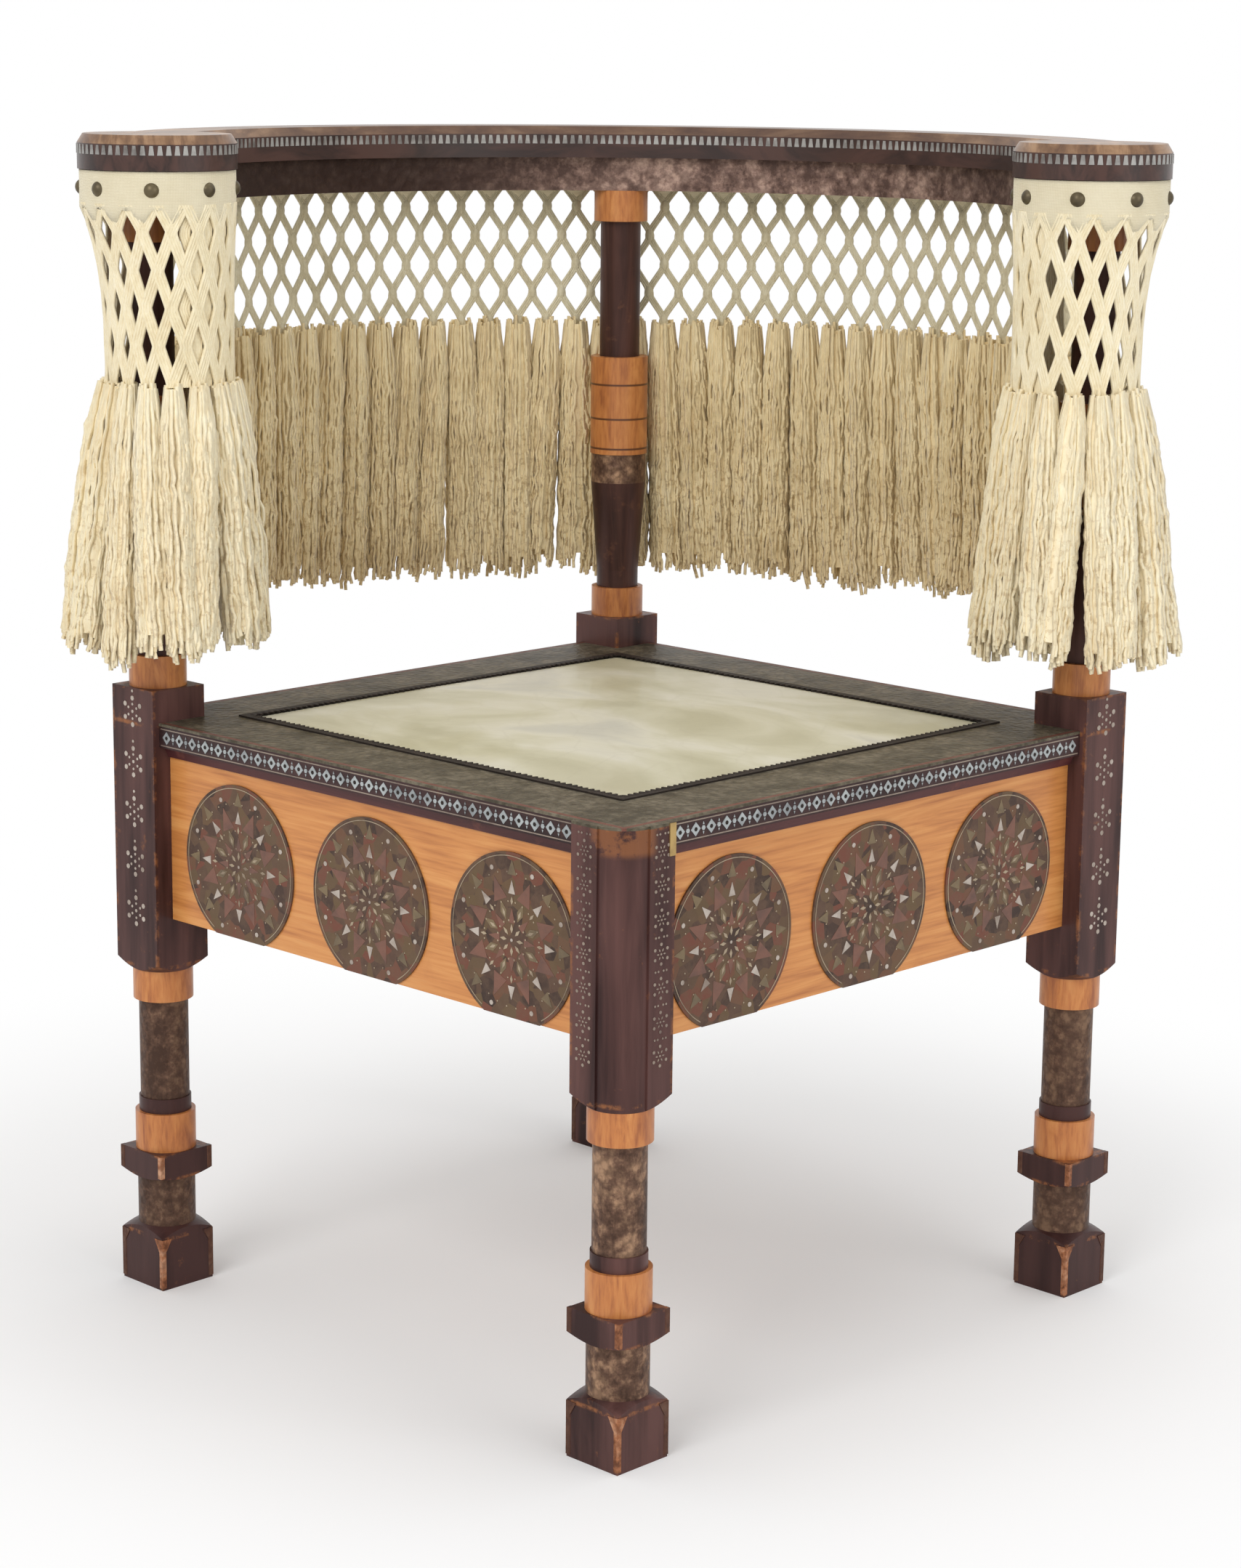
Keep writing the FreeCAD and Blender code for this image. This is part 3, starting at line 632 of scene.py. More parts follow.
@dataclass(frozen=True)
class Cloth(Finish):
    """Plain weave, whose threads run with the sides of the seat or up and down."""

    pale: Colour
    shade: Colour
    thread: float
    upright: bool = False

    def paint(self, s: Shader) -> bpy.types.Material:
        """Threads over and under, with slubs.

        Args:
            s: the material's empty graph.

        Returns:
            The material.
        """
        tx, ty, z = s.split(s.place(turn=SEAT_TURN))
        across = z if self.upright else tx
        along = (tx + ty) if self.upright else ty
        turns = 2.0 * math.pi / self.thread
        weave = abs((across * turns).sine() * (along * turns).sine())
        slub = s.noise(s.place(), 40.0, 4.0, 0.6)
        colour = s.mix((weave * 0.5 + slub * 0.6).step(0.2, 0.75), self.shade, self.pale)
        return s.finish(Base_Color=colour, Roughness=0.85, Sheen_Weight=0.2,
                        Normal=s.bump(weave, 0.5, 0.0006))


@dataclass(frozen=True)
class CrestWood(Finish):
    """Crest rail: brown above, near black on its edge under the bevel."""

    bevel_height: float = 0.7246
    dim_from: tuple[float, float] = (0.06, 0.24)

    def paint(self, s: Shader) -> bpy.types.Material:
        """Grain that follows the arc, a rubbed bevel and a dark edge.

        Args:
            s: the material's empty graph.

        Returns:
            The material.
        """
        where = s.place()
        x, y, z = s.split(where)
        run = s.join(y.bearing(x) * 4.0, s.reach(x, y) * 95.0, z * 40.0)
        streak = s.noise(run, 1.0, 5.0, 0.6, 1.0)
        rubbed = s.noise(where, 30.0, 5.0, 0.65)
        tone = s.ramp(streak * 0.55 + rubbed * 0.45, (0.38, (0.10, 0.048, 0.026)),
                      (0.5, (0.20, 0.105, 0.052)), (0.62, (0.37, 0.22, 0.12)))
        tone = s.mix(y.step(*self.dim_from) * 0.6, tone, (0.060, 0.028, 0.020))
        edge = s.ramp(streak, (0.38, (0.026, 0.011, 0.008)), (0.6, (0.068, 0.029, 0.021)))
        colour = s.mix(z.step(self.bevel_height - 0.0002, self.bevel_height + 0.0002), edge, tone)
        return s.finish(Base_Color=colour, Roughness=0.28 + streak * 0.15, Coat_Weight=0.15,
                        Coat_Roughness=0.2, Specular_IOR_Level=0.35, Normal=s.bump(streak, 0.2, 0.0005))


POST_WOOD = PostWood("post_walnut")
CREST = CrestWood("crest_walnut")
WALNUT = Wood("dark_walnut", (0.026, 0.011, 0.009), (0.094, 0.040, 0.030), (0.22, 0.09, 0.045), coat=0.06)
LEVEL_WALNUT = Wood("dark_walnut_level", (0.018, 0.010, 0.010), (0.058, 0.028, 0.027),
                    (0.16, 0.07, 0.04), Grain.LEVEL, coat=0.06)
MOULDING_WOOD = Wood("red_walnut", (0.045, 0.013, 0.014), (0.110, 0.034, 0.034), (0.20, 0.07, 0.05),
                     Grain.LEVEL, coat=0.06)
INNER_WOOD = Wood("plain_softwood", (0.32, 0.20, 0.10), (0.50, 0.35, 0.20), (0.55, 0.42, 0.27), coat=0.0,
                  roughness=0.6, wear=0.2)
RING_WOOD = FruitWood("ring_fruitwood", (0.66, 0.28, 0.085), (0.53, 0.19, 0.052), (0.32, 0.095, 0.03))
BARREL_WOOD = FruitWood("barrel_fruitwood", (0.64, 0.27, 0.08), (0.50, 0.18, 0.048), (0.30, 0.09, 0.028),
                        lines=(0.5090, 0.5297, 0.5534))
RAIL_WOOD = FruitWood("rail_fruitwood", (0.75, 0.345, 0.108), (0.64, 0.255, 0.068), (0.46, 0.160, 0.040),
                      Grain.LEVEL)
# Hammered copper of the sleeves and bands, with painted shade on the two side posts.
COPPER = BeatenMetal("hammered_copper", (0.066, 0.036, 0.025), (0.155, 0.087, 0.058), (0.40, 0.245, 0.150),
                     0.005, 0.35, painted_side_shade=True, drawn=0.35)
# Copper inside the apron, darkened by painted shade outside a lit run.
COPPER_PAINTED_SHADE = BeatenMetal("darkened_copper", (0.100, 0.060, 0.049), (0.240, 0.152, 0.122),
                          (0.50, 0.345, 0.275), 0.007, 0.3, painted_end_shade=True)
BORDER = BeatenMetal("beaten_border", (0.066, 0.056, 0.038), (0.125, 0.106, 0.073), (0.205, 0.175, 0.125),
                     0.004, 0.3, red_edge=True)
# Copper strips on the posts, darkened by painted shade away from the front of each post.
STRIP = BeatenMetal("copper_strip", (0.16, 0.06, 0.03), (0.42, 0.17, 0.08), (0.60, 0.34, 0.21), 0.004, 0.4,
                    painted_shade_off_front=True)
PEWTER = PlainMetal("pewter", (0.45, 0.48, 0.48), (0.18, 0.19, 0.20), 0.3, 0.42)
TOOTH_PEWTER = PlainMetal("worn_pewter", (0.38, 0.37, 0.35), (0.12, 0.105, 0.095), 0.3, 0.4)
BONE = PlainMetal("bone", (0.52, 0.45, 0.39), (0.24, 0.18, 0.14), 0.0, 0.4)
DIM_PEARL = PlainMetal("dim_pearl", (0.30, 0.235, 0.185), (0.13, 0.085, 0.070), 0.0, 0.4)
OLD_PEARL = PlainMetal("old_pearl", (0.42, 0.33, 0.22), (0.17, 0.115, 0.075), 0.0, 0.35)
RED_PIECE = PlainMetal("red_veneer", (0.190, 0.075, 0.045), (0.100, 0.046, 0.032), 0.0, 0.35)
OLIVE_PIECE = PlainMetal("olive_veneer", (0.190, 0.130, 0.060), (0.10, 0.068, 0.036), 0.0, 0.35)
BRONZE = PlainMetal("bronze", (0.135, 0.105, 0.055), (0.045, 0.034, 0.022), 0.6, 0.34)
OLD_BRASS = PlainMetal("old_brass", (0.50, 0.34, 0.13), (0.25, 0.16, 0.07), 0.6, 0.4)
DISC = DiscVeneer("disc_veneer")
SKIN = Parchment("parchment")
NET_YARN = Yarn("net_yarn", (0.97, 0.88, 0.66), (0.90, 0.79, 0.54), (0.76, 0.63, 0.39), 520.0)
TASSEL_YARN = Yarn("tassel_yarn", (1.0, 0.91, 0.67), (0.96, 0.84, 0.58), (0.84, 0.69, 0.43), 420.0, 0.45)
# Yarns of the back: the same yarns, darker by painted shade.
PAINTED_SHADE_NET_YARN = Yarn("back_net_yarn", (0.74, 0.68, 0.50), (0.64, 0.57, 0.39), (0.50, 0.43, 0.27), 520.0)
PAINTED_SHADE_TASSEL_YARN = Yarn("back_tassel_yarn", (0.97, 0.82, 0.52), (0.87, 0.71, 0.42), (0.68, 0.52, 0.27),
                        420.0, 0.6)
BAND_CLOTH = Cloth("band_cloth", (0.92, 0.84, 0.63), (0.74, 0.64, 0.42), 0.0016, upright=True)
JUTE = Cloth("jute", (0.50, 0.38, 0.22), (0.26, 0.18, 0.10), 0.003)
WADDING = Cloth("wadding", (0.42, 0.33, 0.21), (0.24, 0.18, 0.11), 0.002)
TRIM = Wood("black_trim", (0.010, 0.007, 0.006), (0.030, 0.022, 0.018), (0.07, 0.05, 0.04), coat=0.0,
            roughness=0.5)




def new_mesh(name: str, points: Iterable[Sequence[float]], faces: Iterable[Sequence[int]] = (),
             edges: Iterable[Sequence[int]] = ()) -> bpy.types.Object:
    """Make a mesh object at the origin.

    Args:
        name: the object's name.
        points: corners in metres.
        faces: corner numbers of each face.
        edges: corner numbers of each loose edge.

    Returns:
        The object, linked to the scene.
    """
    mesh = bpy.data.meshes.new(name)
    mesh.from_pydata([tuple(p) for p in points], [tuple(e) for e in edges], [tuple(f) for f in faces])
    made = bpy.data.objects.new(name, mesh)
    bpy.context.scene.collection.objects.link(made)
    return made


def tidy_normals(made: bpy.types.Object, smooth: bool = True) -> bpy.types.Object:
    """Merge doubles and point every face outwards.

    Args:
        made: the piece.
        smooth: whether its faces are shaded smooth.

    Returns:
        The piece.
    """
    cleaned = bmesh.new()
    cleaned.from_mesh(made.data)
    bmesh.ops.remove_doubles(cleaned, verts=cleaned.verts, dist=1e-6)
    bmesh.ops.recalc_face_normals(cleaned, faces=cleaned.faces)
    cleaned.to_mesh(made.data)
    cleaned.free()
    for face in made.data.polygons:
        face.use_smooth = smooth
    return made


def frozen(made: bpy.types.Object) -> bpy.types.Object:
    """Turn the result of the modifiers into a plain mesh and drop them.

    Args:
        made: the piece.

    Returns:
        The piece.
    """
    bpy.context.view_layer.update()
    graph = bpy.context.evaluated_depsgraph_get()
    result = bpy.data.meshes.new_from_object(made.evaluated_get(graph))
    made.modifiers.clear()
    made.data = result
    result.name = made.name
    return made


def heading(angle: float) -> Vector:
    """Level direction at an angle from +X."""
    return Vector((math.cos(angle), math.sin(angle), 0.0))


def clamp(number: float, low: float, high: float) -> float:
    """The number, kept between two limits."""
    return min(max(number, low), high)


def arcs_cross(radius: float, end_centre: float, end_radius: float) -> float:
    """How far to the side a circle about the chair crosses the circle about a post."""
    return (radius ** 2 + end_centre ** 2 - end_radius ** 2) / (2 * end_centre)


def settle(made: bpy.types.Object, replaced: Sequence[str] = (),
           finish: Finish | None = None) -> bpy.types.Object:
    """Tie a finished piece to the chair.

    Args:
        made: the piece.
        replaced: CAD nodes that the piece stands for.
        finish: its finish, where the mesh has none yet.

    Returns:
        The piece.
    """
    if finish:
        made.data.materials.append(finish.material())
    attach(made, BODY)
    if replaced:
        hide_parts(*replaced)
    log.info("%s: %d faces", made.name, len(made.data.polygons))
    return made


class GeometryTree(Graph):
    """A geometry node tree with named inputs and one geometry output."""

    def __init__(self, name: str, inputs: dict[str, tuple[str, object]]) -> None:
        """Start the tree.

        Args:
            name: the tree's name.
            inputs: name to socket type and default value.
        """
        tree = bpy.data.node_groups.new(name, "GeometryNodeTree")
        super().__init__(tree)
        face = tree.interface
        face.new_socket("Geometry", in_out="INPUT", socket_type="NodeSocketGeometry")
        face.new_socket("Geometry", in_out="OUTPUT", socket_type="NodeSocketGeometry")
        for key, (kind, default) in inputs.items():
            made = face.new_socket(key, in_out="INPUT", socket_type=kind)
            if default is not None:
                made.default_value = default
        self.entry = self.node("NodeGroupInput")
        self.exit = self.node("NodeGroupOutput")

    def given(self, name: str) -> Value:
        """One named input."""
        return Value(self, self.entry.outputs[name])

    def even(self, lines: bpy.types.Node) -> bpy.types.Node:
        """Resample lines to the tree's step.

        Args:
            lines: the node that gives the lines.

        Returns:
            The resample node.
        """
        made = self.node("GeometryNodeResampleCurve", {"mode": "LENGTH"}, lines.outputs[0])
        self.feed(made, "Length", self.given("Step"))
        return made

    def swept(self, lines: bpy.types.Node, sides: Value | int, radius: Value | float,
              **named: object) -> bpy.types.Node:
        """Run a closed round tube along lines.

        Args:
            lines: the node that gives the lines.
            sides: sides of the tube.
            radius: its radius.
            named: further inputs of the sweep.

        Returns:
            The sweep node.
        """
        section = self.node("GeometryNodeCurvePrimitiveCircle", {"mode": "RADIUS"}, Resolution=sides,
                            Radius=radius)
        return self.node("GeometryNodeCurveToMesh", None, lines.outputs[0], Profile_Curve=section.outputs[0],
                         Fill_Caps=True, **named)

    def close(self, geometry: Socket) -> None:
        """Realize the instances, give the material and end the tree.

        Args:
            geometry: the finished geometry.
        """
        real = self.node("GeometryNodeRealizeInstances", None, geometry)
        painted = self.node("GeometryNodeSetMaterial", None, real.outputs[0], Material=self.given("Material"))
        self.tree.links.new(painted.outputs[0], self.exit.inputs[0])

    def apply(self, made: bpy.types.Object, values: dict[str, object]) -> bpy.types.Object:
        """Run the tree on an object and freeze the result.

        Args:
            made: the object that carries the tree's source geometry.
            values: input values by name.

        Returns:
            The object with a plain mesh.
        """
        modifier = made.modifiers.new(self.tree.name, "NODES")
        modifier.node_group = self.tree
        sockets = {i.name: i.identifier for i in self.tree.interface.items_tree
                   if i.item_type == "SOCKET" and i.in_out == "INPUT"}
        for key, value in values.items():
            modifier[sockets[key]] = value
        return frozen(made)


def repeat_tree() -> GeometryTree:
    """Tree that sets one motif on every point, turned by the point's pose.

    Returns:
        The tree.
    """
    tree = GeometryTree("repeat_motif", {
        "Motif": ("NodeSocketObject", None),
        "Size": ("NodeSocketFloat", 1.0),
        "Material": ("NodeSocketMaterial", None),
    })
    points = tree.node("GeometryNodeMeshToPoints", None, tree.entry.outputs["Geometry"])
    pose = tree.value("GeometryNodeInputNamedAttribute", {"data_type": "FLOAT_VECTOR"}, Name="pose")
    grow = tree.value("GeometryNodeInputNamedAttribute", {"data_type": "FLOAT"}, Name="grow")
    motif = tree.node("GeometryNodeObjectInfo", None, tree.given("Motif"))
    size = grow * tree.given("Size")
    placed = tree.node("GeometryNodeInstanceOnPoints", None, points.outputs[0],
                       Instance=motif.outputs["Geometry"], Rotation=pose, Scale=size)
    tree.close(placed.outputs[0])
    return tree


def cord_tree() -> GeometryTree:
    """Tree that runs a round cord along every line.

    Returns:
        The tree.
    """
    tree = GeometryTree("net_cords", {
        "Radius": ("NodeSocketFloat", 0.001),
        "Step": ("NodeSocketFloat", 0.004),
        "Sides": ("NodeSocketInt", 6),
        "Material": ("NodeSocketMaterial", None),
    })
    lines = tree.node("GeometryNodeMeshToCurve", None, tree.entry.outputs["Geometry"])
    soft = tree.node("GeometryNodeCurveSplineType", {"spline_type": "CATMULL_ROM"}, lines.outputs[0])
    tree.close(tree.swept(tree.even(soft), tree.given("Sides"), tree.given("Radius")).outputs[0])
    return tree


def tassel_tree() -> GeometryTree:
    """Tree that turns each tassel's middle line into a bundle of crinkled yarns.

    Returns:
        The tree.
    """
    tree = GeometryTree("tassel_yarns", {
        "Yarns": ("NodeSocketInt", 30),
        "Head": ("NodeSocketFloat", 0.004),
        "Spread": ("NodeSocketFloat", 0.01),
        "Core": ("NodeSocketFloat", 0.8),
        "Core end": ("NodeSocketFloat", 0.955),
        "Crinkle": ("NodeSocketFloat", 0.002),
        "Radius": ("NodeSocketFloat", 0.0008),
        "Step": ("NodeSocketFloat", 0.006),
        "Seed": ("NodeSocketInt", 7),
        "Material": ("NodeSocketMaterial", None),
    })
    lines = tree.node("GeometryNodeMeshToCurve", None, tree.entry.outputs["Geometry"])
    even = tree.even(lines)
    many = tree.node("GeometryNodeDuplicateElements", {"domain": "SPLINE"}, even.outputs[0],
                     Amount=tree.given("Yarns"))
    index = tree.node("GeometryNodeInputIndex")
    drawn = tree.value("FunctionNodeRandomValue", {"data_type": "FLOAT_VECTOR"}, (-1.0, -1.0, -0.5),
                       (1.0, 1.0, 0.5), ID=index.outputs[0], Seed=tree.given("Seed"))
    held = {"data_type": "FLOAT_VECTOR", "domain": "CURVE"}
    per_yarn = tree.value("GeometryNodeFieldOnDomain", held, drawn)
    unit = tree.vector("NORMALIZE", per_yarn)
    along = Value(tree, tree.node("GeometryNodeSplineParameter").outputs["Factor"])
    widening = along.step(-0.12, 0.22) * 0.72 + along * 0.28
    radius = tree.given("Head") + widening * (tree.given("Spread") - tree.given("Head"))
    shifted = tree.vector("ADD", tree.value("GeometryNodeInputPosition"), tree.scaled(per_yarn, 3.0))
    wave = tree.node("ShaderNodeTexNoise", None, shifted, Scale=105.0, Detail=2.0, Roughness=0.6)
    centred = tree.vector("SUBTRACT", wave.outputs["Color"], (0.5, 0.5, 0.5))
    curl = tree.scaled(centred, tree.given("Crinkle") * (along.step(0.0, 0.2) * 2.0))
    offset = tree.vector("ADD", tree.scaled(unit, radius), curl)
    moved = tree.node("GeometryNodeSetPosition", None, many.outputs[0], Offset=offset)
    yarns = tree.swept(moved, 3, tree.given("Radius"))
    shorter = tree.node("GeometryNodeTrimCurve", {"mode": "FACTOR"}, even.outputs[0])
    tree.feed(shorter, "End", tree.given("Core end"))
    core = tree.swept(shorter, 12, 1.0, Scale=radius * tree.given("Core"))
    both = tree.node("GeometryNodeJoinGeometry", None, yarns.outputs[0])
    tree.tree.links.new(core.outputs[0], both.inputs[0])
    tree.close(both.outputs[0])
    return tree


@dataclass
class Placing:
    """Where one copy of a motif stands: its place, its outward direction and its upward one."""

    place: Vector
    outward: Vector
    upward: Vector
    grow: float = 1.0

    def pose(self) -> tuple[float, float, float]:
        """Turn that brings the motif's Z outwards and its Y upwards.

        Returns:
            The turn, as Euler angles.
        """
        across = self.upward.cross(self.outward).normalized()
        upward = self.outward.cross(across).normalized()
        turn = Matrix((across, upward, self.outward.normalized())).transposed()
        return tuple(turn.to_euler())


class Workshop:
    """Holds the shared node trees and makes repeated ornament with them."""

    def __init__(self) -> None:
        """Build the trees once."""
        self.repeats = repeat_tree()
        self.cords = cord_tree()
        self.tassels = tassel_tree()

    def scatter(self, name: str, motif: bpy.types.Object, placings: Sequence[Placing], finish: Finish,
                slot: str) -> bpy.types.Object:
        """Repeat a motif.

        Args:
            name: the new piece's name.
            motif: a mesh object, used up by this call.
            placings: where the copies stand.
            finish: the piece's finish.
            slot: not used.

        Returns:
            The new piece.
        """
        made = new_mesh(name, [p.place for p in placings])
        pose = made.data.attributes.new("pose", "FLOAT_VECTOR", "POINT")
        pose.data.foreach_set("vector", [c for p in placings for c in p.pose()])
        grow = made.data.attributes.new("grow", "FLOAT", "POINT")
        grow.data.foreach_set("value", [p.grow for p in placings])
        self.repeats.apply(made, {"Motif": motif, "Size": 1.0, "Material": finish.material()})
        bpy.data.objects.remove(motif, do_unlink=True)
        return settle(made)


def prism(name: str, outlines: Sequence[Sequence[Point2]], proud: float = 0.35, sunk: float = 0.25,
          taper: float = 1.0) -> bpy.types.Object:
    """Thin inlay made of one or more flat outlines, given in millimetres.

    Args:
        name: the motif's name.
        outlines: corner points of each outline, anticlockwise.
        proud: height above the surface, in millimetres.
        sunk: depth below it.
        taper: size of the top face beside the foot.

    Returns:
        The motif.
    """
    points: list[tuple[float, float, float]] = []
    faces: list[list[int]] = []
    for outline in outlines:
        start = len(points)
        count = len(outline)
        mid_x = sum(p[0] for p in outline) / count
        mid_y = sum(p[1] for p in outline) / count
        points += [(x * MM, y * MM, -sunk * MM) for x, y in outline]
        points += [((mid_x + (x - mid_x) * taper) * MM, (mid_y + (y - mid_y) * taper) * MM, proud * MM)
                   for x, y in outline]
        faces.append([start + i for i in reversed(range(count))])
        faces.append([start + count + i for i in range(count)])
        faces += [[start + i, start + (i + 1) % count, start + count + (i + 1) % count, start + count + i]
                  for i in range(count)]
    return new_mesh(name, points, faces)


def ngon(radius: float, sides: int, x: float = 0.0, y: float = 0.0, turn: float = 0.0,
         squeeze: float = 1.0) -> list[Point2]:
    """Corners of a regular outline, in millimetres.

    Args:
        radius: distance of the corners from the middle.
        sides: how many corners.
        x: place of the middle.
        y: place of the middle.
        turn: angle of the first corner.
        squeeze: width beside the height.

    Returns:
        The corners.
    """
    angles = [turn + 2 * math.pi * i / sides for i in range(sides)]
    return [(x + radius * squeeze * math.cos(a), y + radius * math.sin(a)) for a in angles]


def turned(outline: Iterable[Point2], angle: float) -> list[Point2]:
    """An outline turned about its centre."""
    return [(x * math.cos(angle) - y * math.sin(angle), x * math.sin(angle) + y * math.cos(angle))
            for x, y in outline]


def petal(near: float, far: float, half: float, angle: float) -> list[Point2]:
    """Slim leaf that points outwards from a centre."""
    middle = near + (far - near) * 0.45
    return turned([(near, 0.0), (middle, -half), (far, 0.0), (middle, half)], angle)


def spear(near: float, far: float, half: float, angle: float) -> list[Point2]:
    """Triangle whose base is near a centre and whose point is away from it."""
    return turned([(near, -half), (far, 0.0), (near, half)], angle)


class Woodwork:
    """Finishes of every CAD piece whose shape stays."""

    FINISHES: dict[str, Finish] = {
        "leg_rings": RING_WOOD,
        "leg_sleeves": COPPER,
        "leg_": POST_WOOD,
        "corner_strips": STRIP,
        "corner_braces": INNER_WOOD,
        "seat_rail": RAIL_WOOD,
        "seat_moulding": MOULDING_WOOD,
        "seat_border_cladding": BORDER,
        "seat_border": LEVEL_WALNUT,
        "seat_trim": TRIM,
        "rosettes": DISC,
        "crest_rail": CREST,
        "crest_apron": LEVEL_WALNUT,
        "apron_cladding": COPPER_PAINTED_SHADE,
        "arm_drum": WALNUT,
        "spindle_rings": BARREL_WOOD,
        "spindle_bands": COPPER,
        "spindle_": WALNUT,
        "dome_nails": BRONZE,
    }

    def dress(self) -> None:
        """Give each shown CAD node its material."""
        for name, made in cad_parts.items():
            finish = next((f for start, f in self.FINISHES.items() if name.startswith(start)), None)
            if finish is None:
                continue
            material = finish.material()
            if not made.material_slots:
                made.data.materials.append(material)
            for slot in made.material_slots:
                slot.material = material


@dataclass
class SeatSquare:
    """Places on the square seat, read from the CAD pieces."""

    side_count: int = 4
    border_setback: float = 4.5 * MM
    post_reach: float = field(init=False)
    post_half: float = field(init=False)
    border_reach: float = field(init=False)
    border_low: float = field(init=False)
    border_high: float = field(init=False)
    top: float = field(init=False)
    block_low: float = field(init=False)
    block_high: float = field(init=False)
    rail_low: float = field(init=False)

    def __post_init__(self) -> None:
        """Measure the frame."""
        low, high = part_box("leg_right")
        self.post_reach = (low.x + high.x) / 2
        self.post_half = (high.x - low.x) / 2 / math.sqrt(2)
        border_low, border_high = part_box("seat_border_front_right")
        self.border_low, self.border_high = border_low.z, border_high.z
        self.border_reach = self.post_reach / math.sqrt(2) + self.post_half - self.border_setback
        self.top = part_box("seat_border_cladding")[1].z
        self.block_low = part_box("leg_rings_right")[1].z
        self.block_high = high.z
        self.rail_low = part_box("seat_rail_front_right")[0].z

    def side(self, index: int) -> tuple[Vector, Vector]:
        """Outward and sideways directions of one side, front right first.

        Args:
            index: number of the side.

        Returns:
            The two directions.
        """
        angle = math.radians(-45.0 + 90.0 * index)
        outward = heading(angle)
        return outward, UP.cross(outward)

    def half_rail(self) -> float:
        """Half the free length of a rail between two posts."""
        return self.post_reach / math.sqrt(2) - self.post_half


@dataclass
class SeatInlay:
    """Inlay of the rails, the border's edge and the corner blocks."""

    shop: Workshop
    square: SeatSquare
    edge_pitch: float = 12.6 * MM
    star_pitch: float = 32.0 * MM
    front_pitch: float = 19.4 * MM
    star_margin: float = 15.0 * MM
    rosette_pitch: float = 121.0 * MM
    rosette_shift: float = 4.2 * MM
    rosette_drop: float = 66.0 * MM
    rail_setback: float = 13.0 * MM
    disc_thickness: float = 1.2 * MM
    front_shift: float = 9.8 * MM
    line_rise: float = 5.2 * MM
    rim_bars: int = 96

    def build(self) -> None:
        """Make each kind of inlay."""
        self.edge_chain()
        self.block_stars()
        self.rosettes()

    def edge_chain(self) -> None:
        """Pewter diamonds, dots and two fine lines along the border's edge."""
        square = self.square
        middle = (square.border_low + square.border_high) / 2
        diamonds: list[Placing] = []
        dots: list[Placing] = []
        lines: list[Placing] = []
        half = square.half_rail()
        count = int(2 * (half - 6 * MM) / self.edge_pitch)
        for index in range(square.side_count):
            outward, along = square.side(index)
            base = outward * square.border_reach + UP * middle
            for step in range(count + 1):
                offset = (step - count / 2) * self.edge_pitch
                diamonds.append(Placing(base + along * offset, outward, UP))
                if step < count:
                    dots.append(Placing(base + along * (offset + self.edge_pitch / 2), outward, UP))
            for sign in (-1, 1):
                lines.append(Placing(base + UP * (sign * self.line_rise), outward, UP))
        diamond = prism("edge_diamond", [ngon(4.0, 4, squeeze=0.95)], 0.4)
        self.shop.scatter("edge_diamonds", diamond, diamonds, PEWTER, "dark_wood")
        heart = prism("edge_heart", [ngon(1.3, 6)], 0.55, -0.2)
        self.shop.scatter("edge_hearts", heart, diamonds, TRIM, "dark_wood")
        leaves = [ngon(1.5, 6), [(-0.6, 2.0), (0.6, 2.0), (0.0, 3.6)],
                  [(-0.6, -2.0), (0.0, -3.6), (0.6, -2.0)]]
        self.shop.scatter("edge_leaves", prism("edge_leaf", leaves, 0.4), dots, PEWTER, "dark_wood")
        length = (half - 2 * MM) / MM
        bar = prism("edge_line", [[(-length, -0.35), (length, -0.35), (length, 0.35), (-length, 0.35)]], 0.2)
        self.shop.scatter("edge_lines", bar, lines, DIM_PEARL, "dark_wood")

    def block_stars(self) -> None:
        """Small dotted stars, one above another, on the two outer faces of each block."""
        square = self.square
        stars: tuple[list[Placing], list[Placing]] = ([], [])
        for corner in range(square.side_count):
            angle = math.radians(-90.0 + 90.0 * corner)
            radial = heading(angle)
            is_front = corner == 0
            pitch = self.front_pitch if is_front else self.star_pitch
            top = square.top if is_front else square.block_high
            for sign in (-1, 1):
                outward = heading(angle + sign * SEAT_TURN)
                shift = UP.cross(outward) * sign * (self.front_shift if is_front else 0.0)
                base = radial * square.post_reach + outward * square.post_half + shift
                height = top - self.star_margin
                while height > square.block_low + self.star_margin * 0.8:
                    stars[is_front].append(Placing(base + UP * height, outward, UP))
                    height -= pitch
        tall = self.ring_star(8.4, 1.65) + self.ring_star(4.6, 0.9)[:-1] + [ngon(1.0, 6, 0.0, 13.0)]
        front = self.ring_star(5.6, 1.0) + [petal(1.6, 3.6, 0.5, i * math.pi / 3) for i in range(6)]
        front += [ngon(0.7, 6, x, 9.7) for x in (-4.4, -2.0, 2.0, 4.4)]
        self.shop.scatter("tall_block_stars", prism("star", tall, 0.3), stars[0], BONE, "dark_wood")
        self.shop.scatter("front_block_stars", prism("star", front, 0.3), stars[1], DIM_PEARL, "dark_wood")

    @staticmethod
    def ring_star(radius: float, dot: float) -> list[list[Point2]]:
        """Six dots in a ring, one of them at the top, and a small one in the middle.

        Args:
            radius: the ring's radius, in millimetres.
            dot: the radius of its dots.

        Returns:
            The outlines, the middle one last.
        """
        spots = [math.pi / 6 + i * math.pi / 3 for i in range(6)]
        ring = [ngon(dot, 7, radius * math.cos(a), radius * math.sin(a)) for a in spots]
        return ring + [ngon(dot * 0.7, 6)]

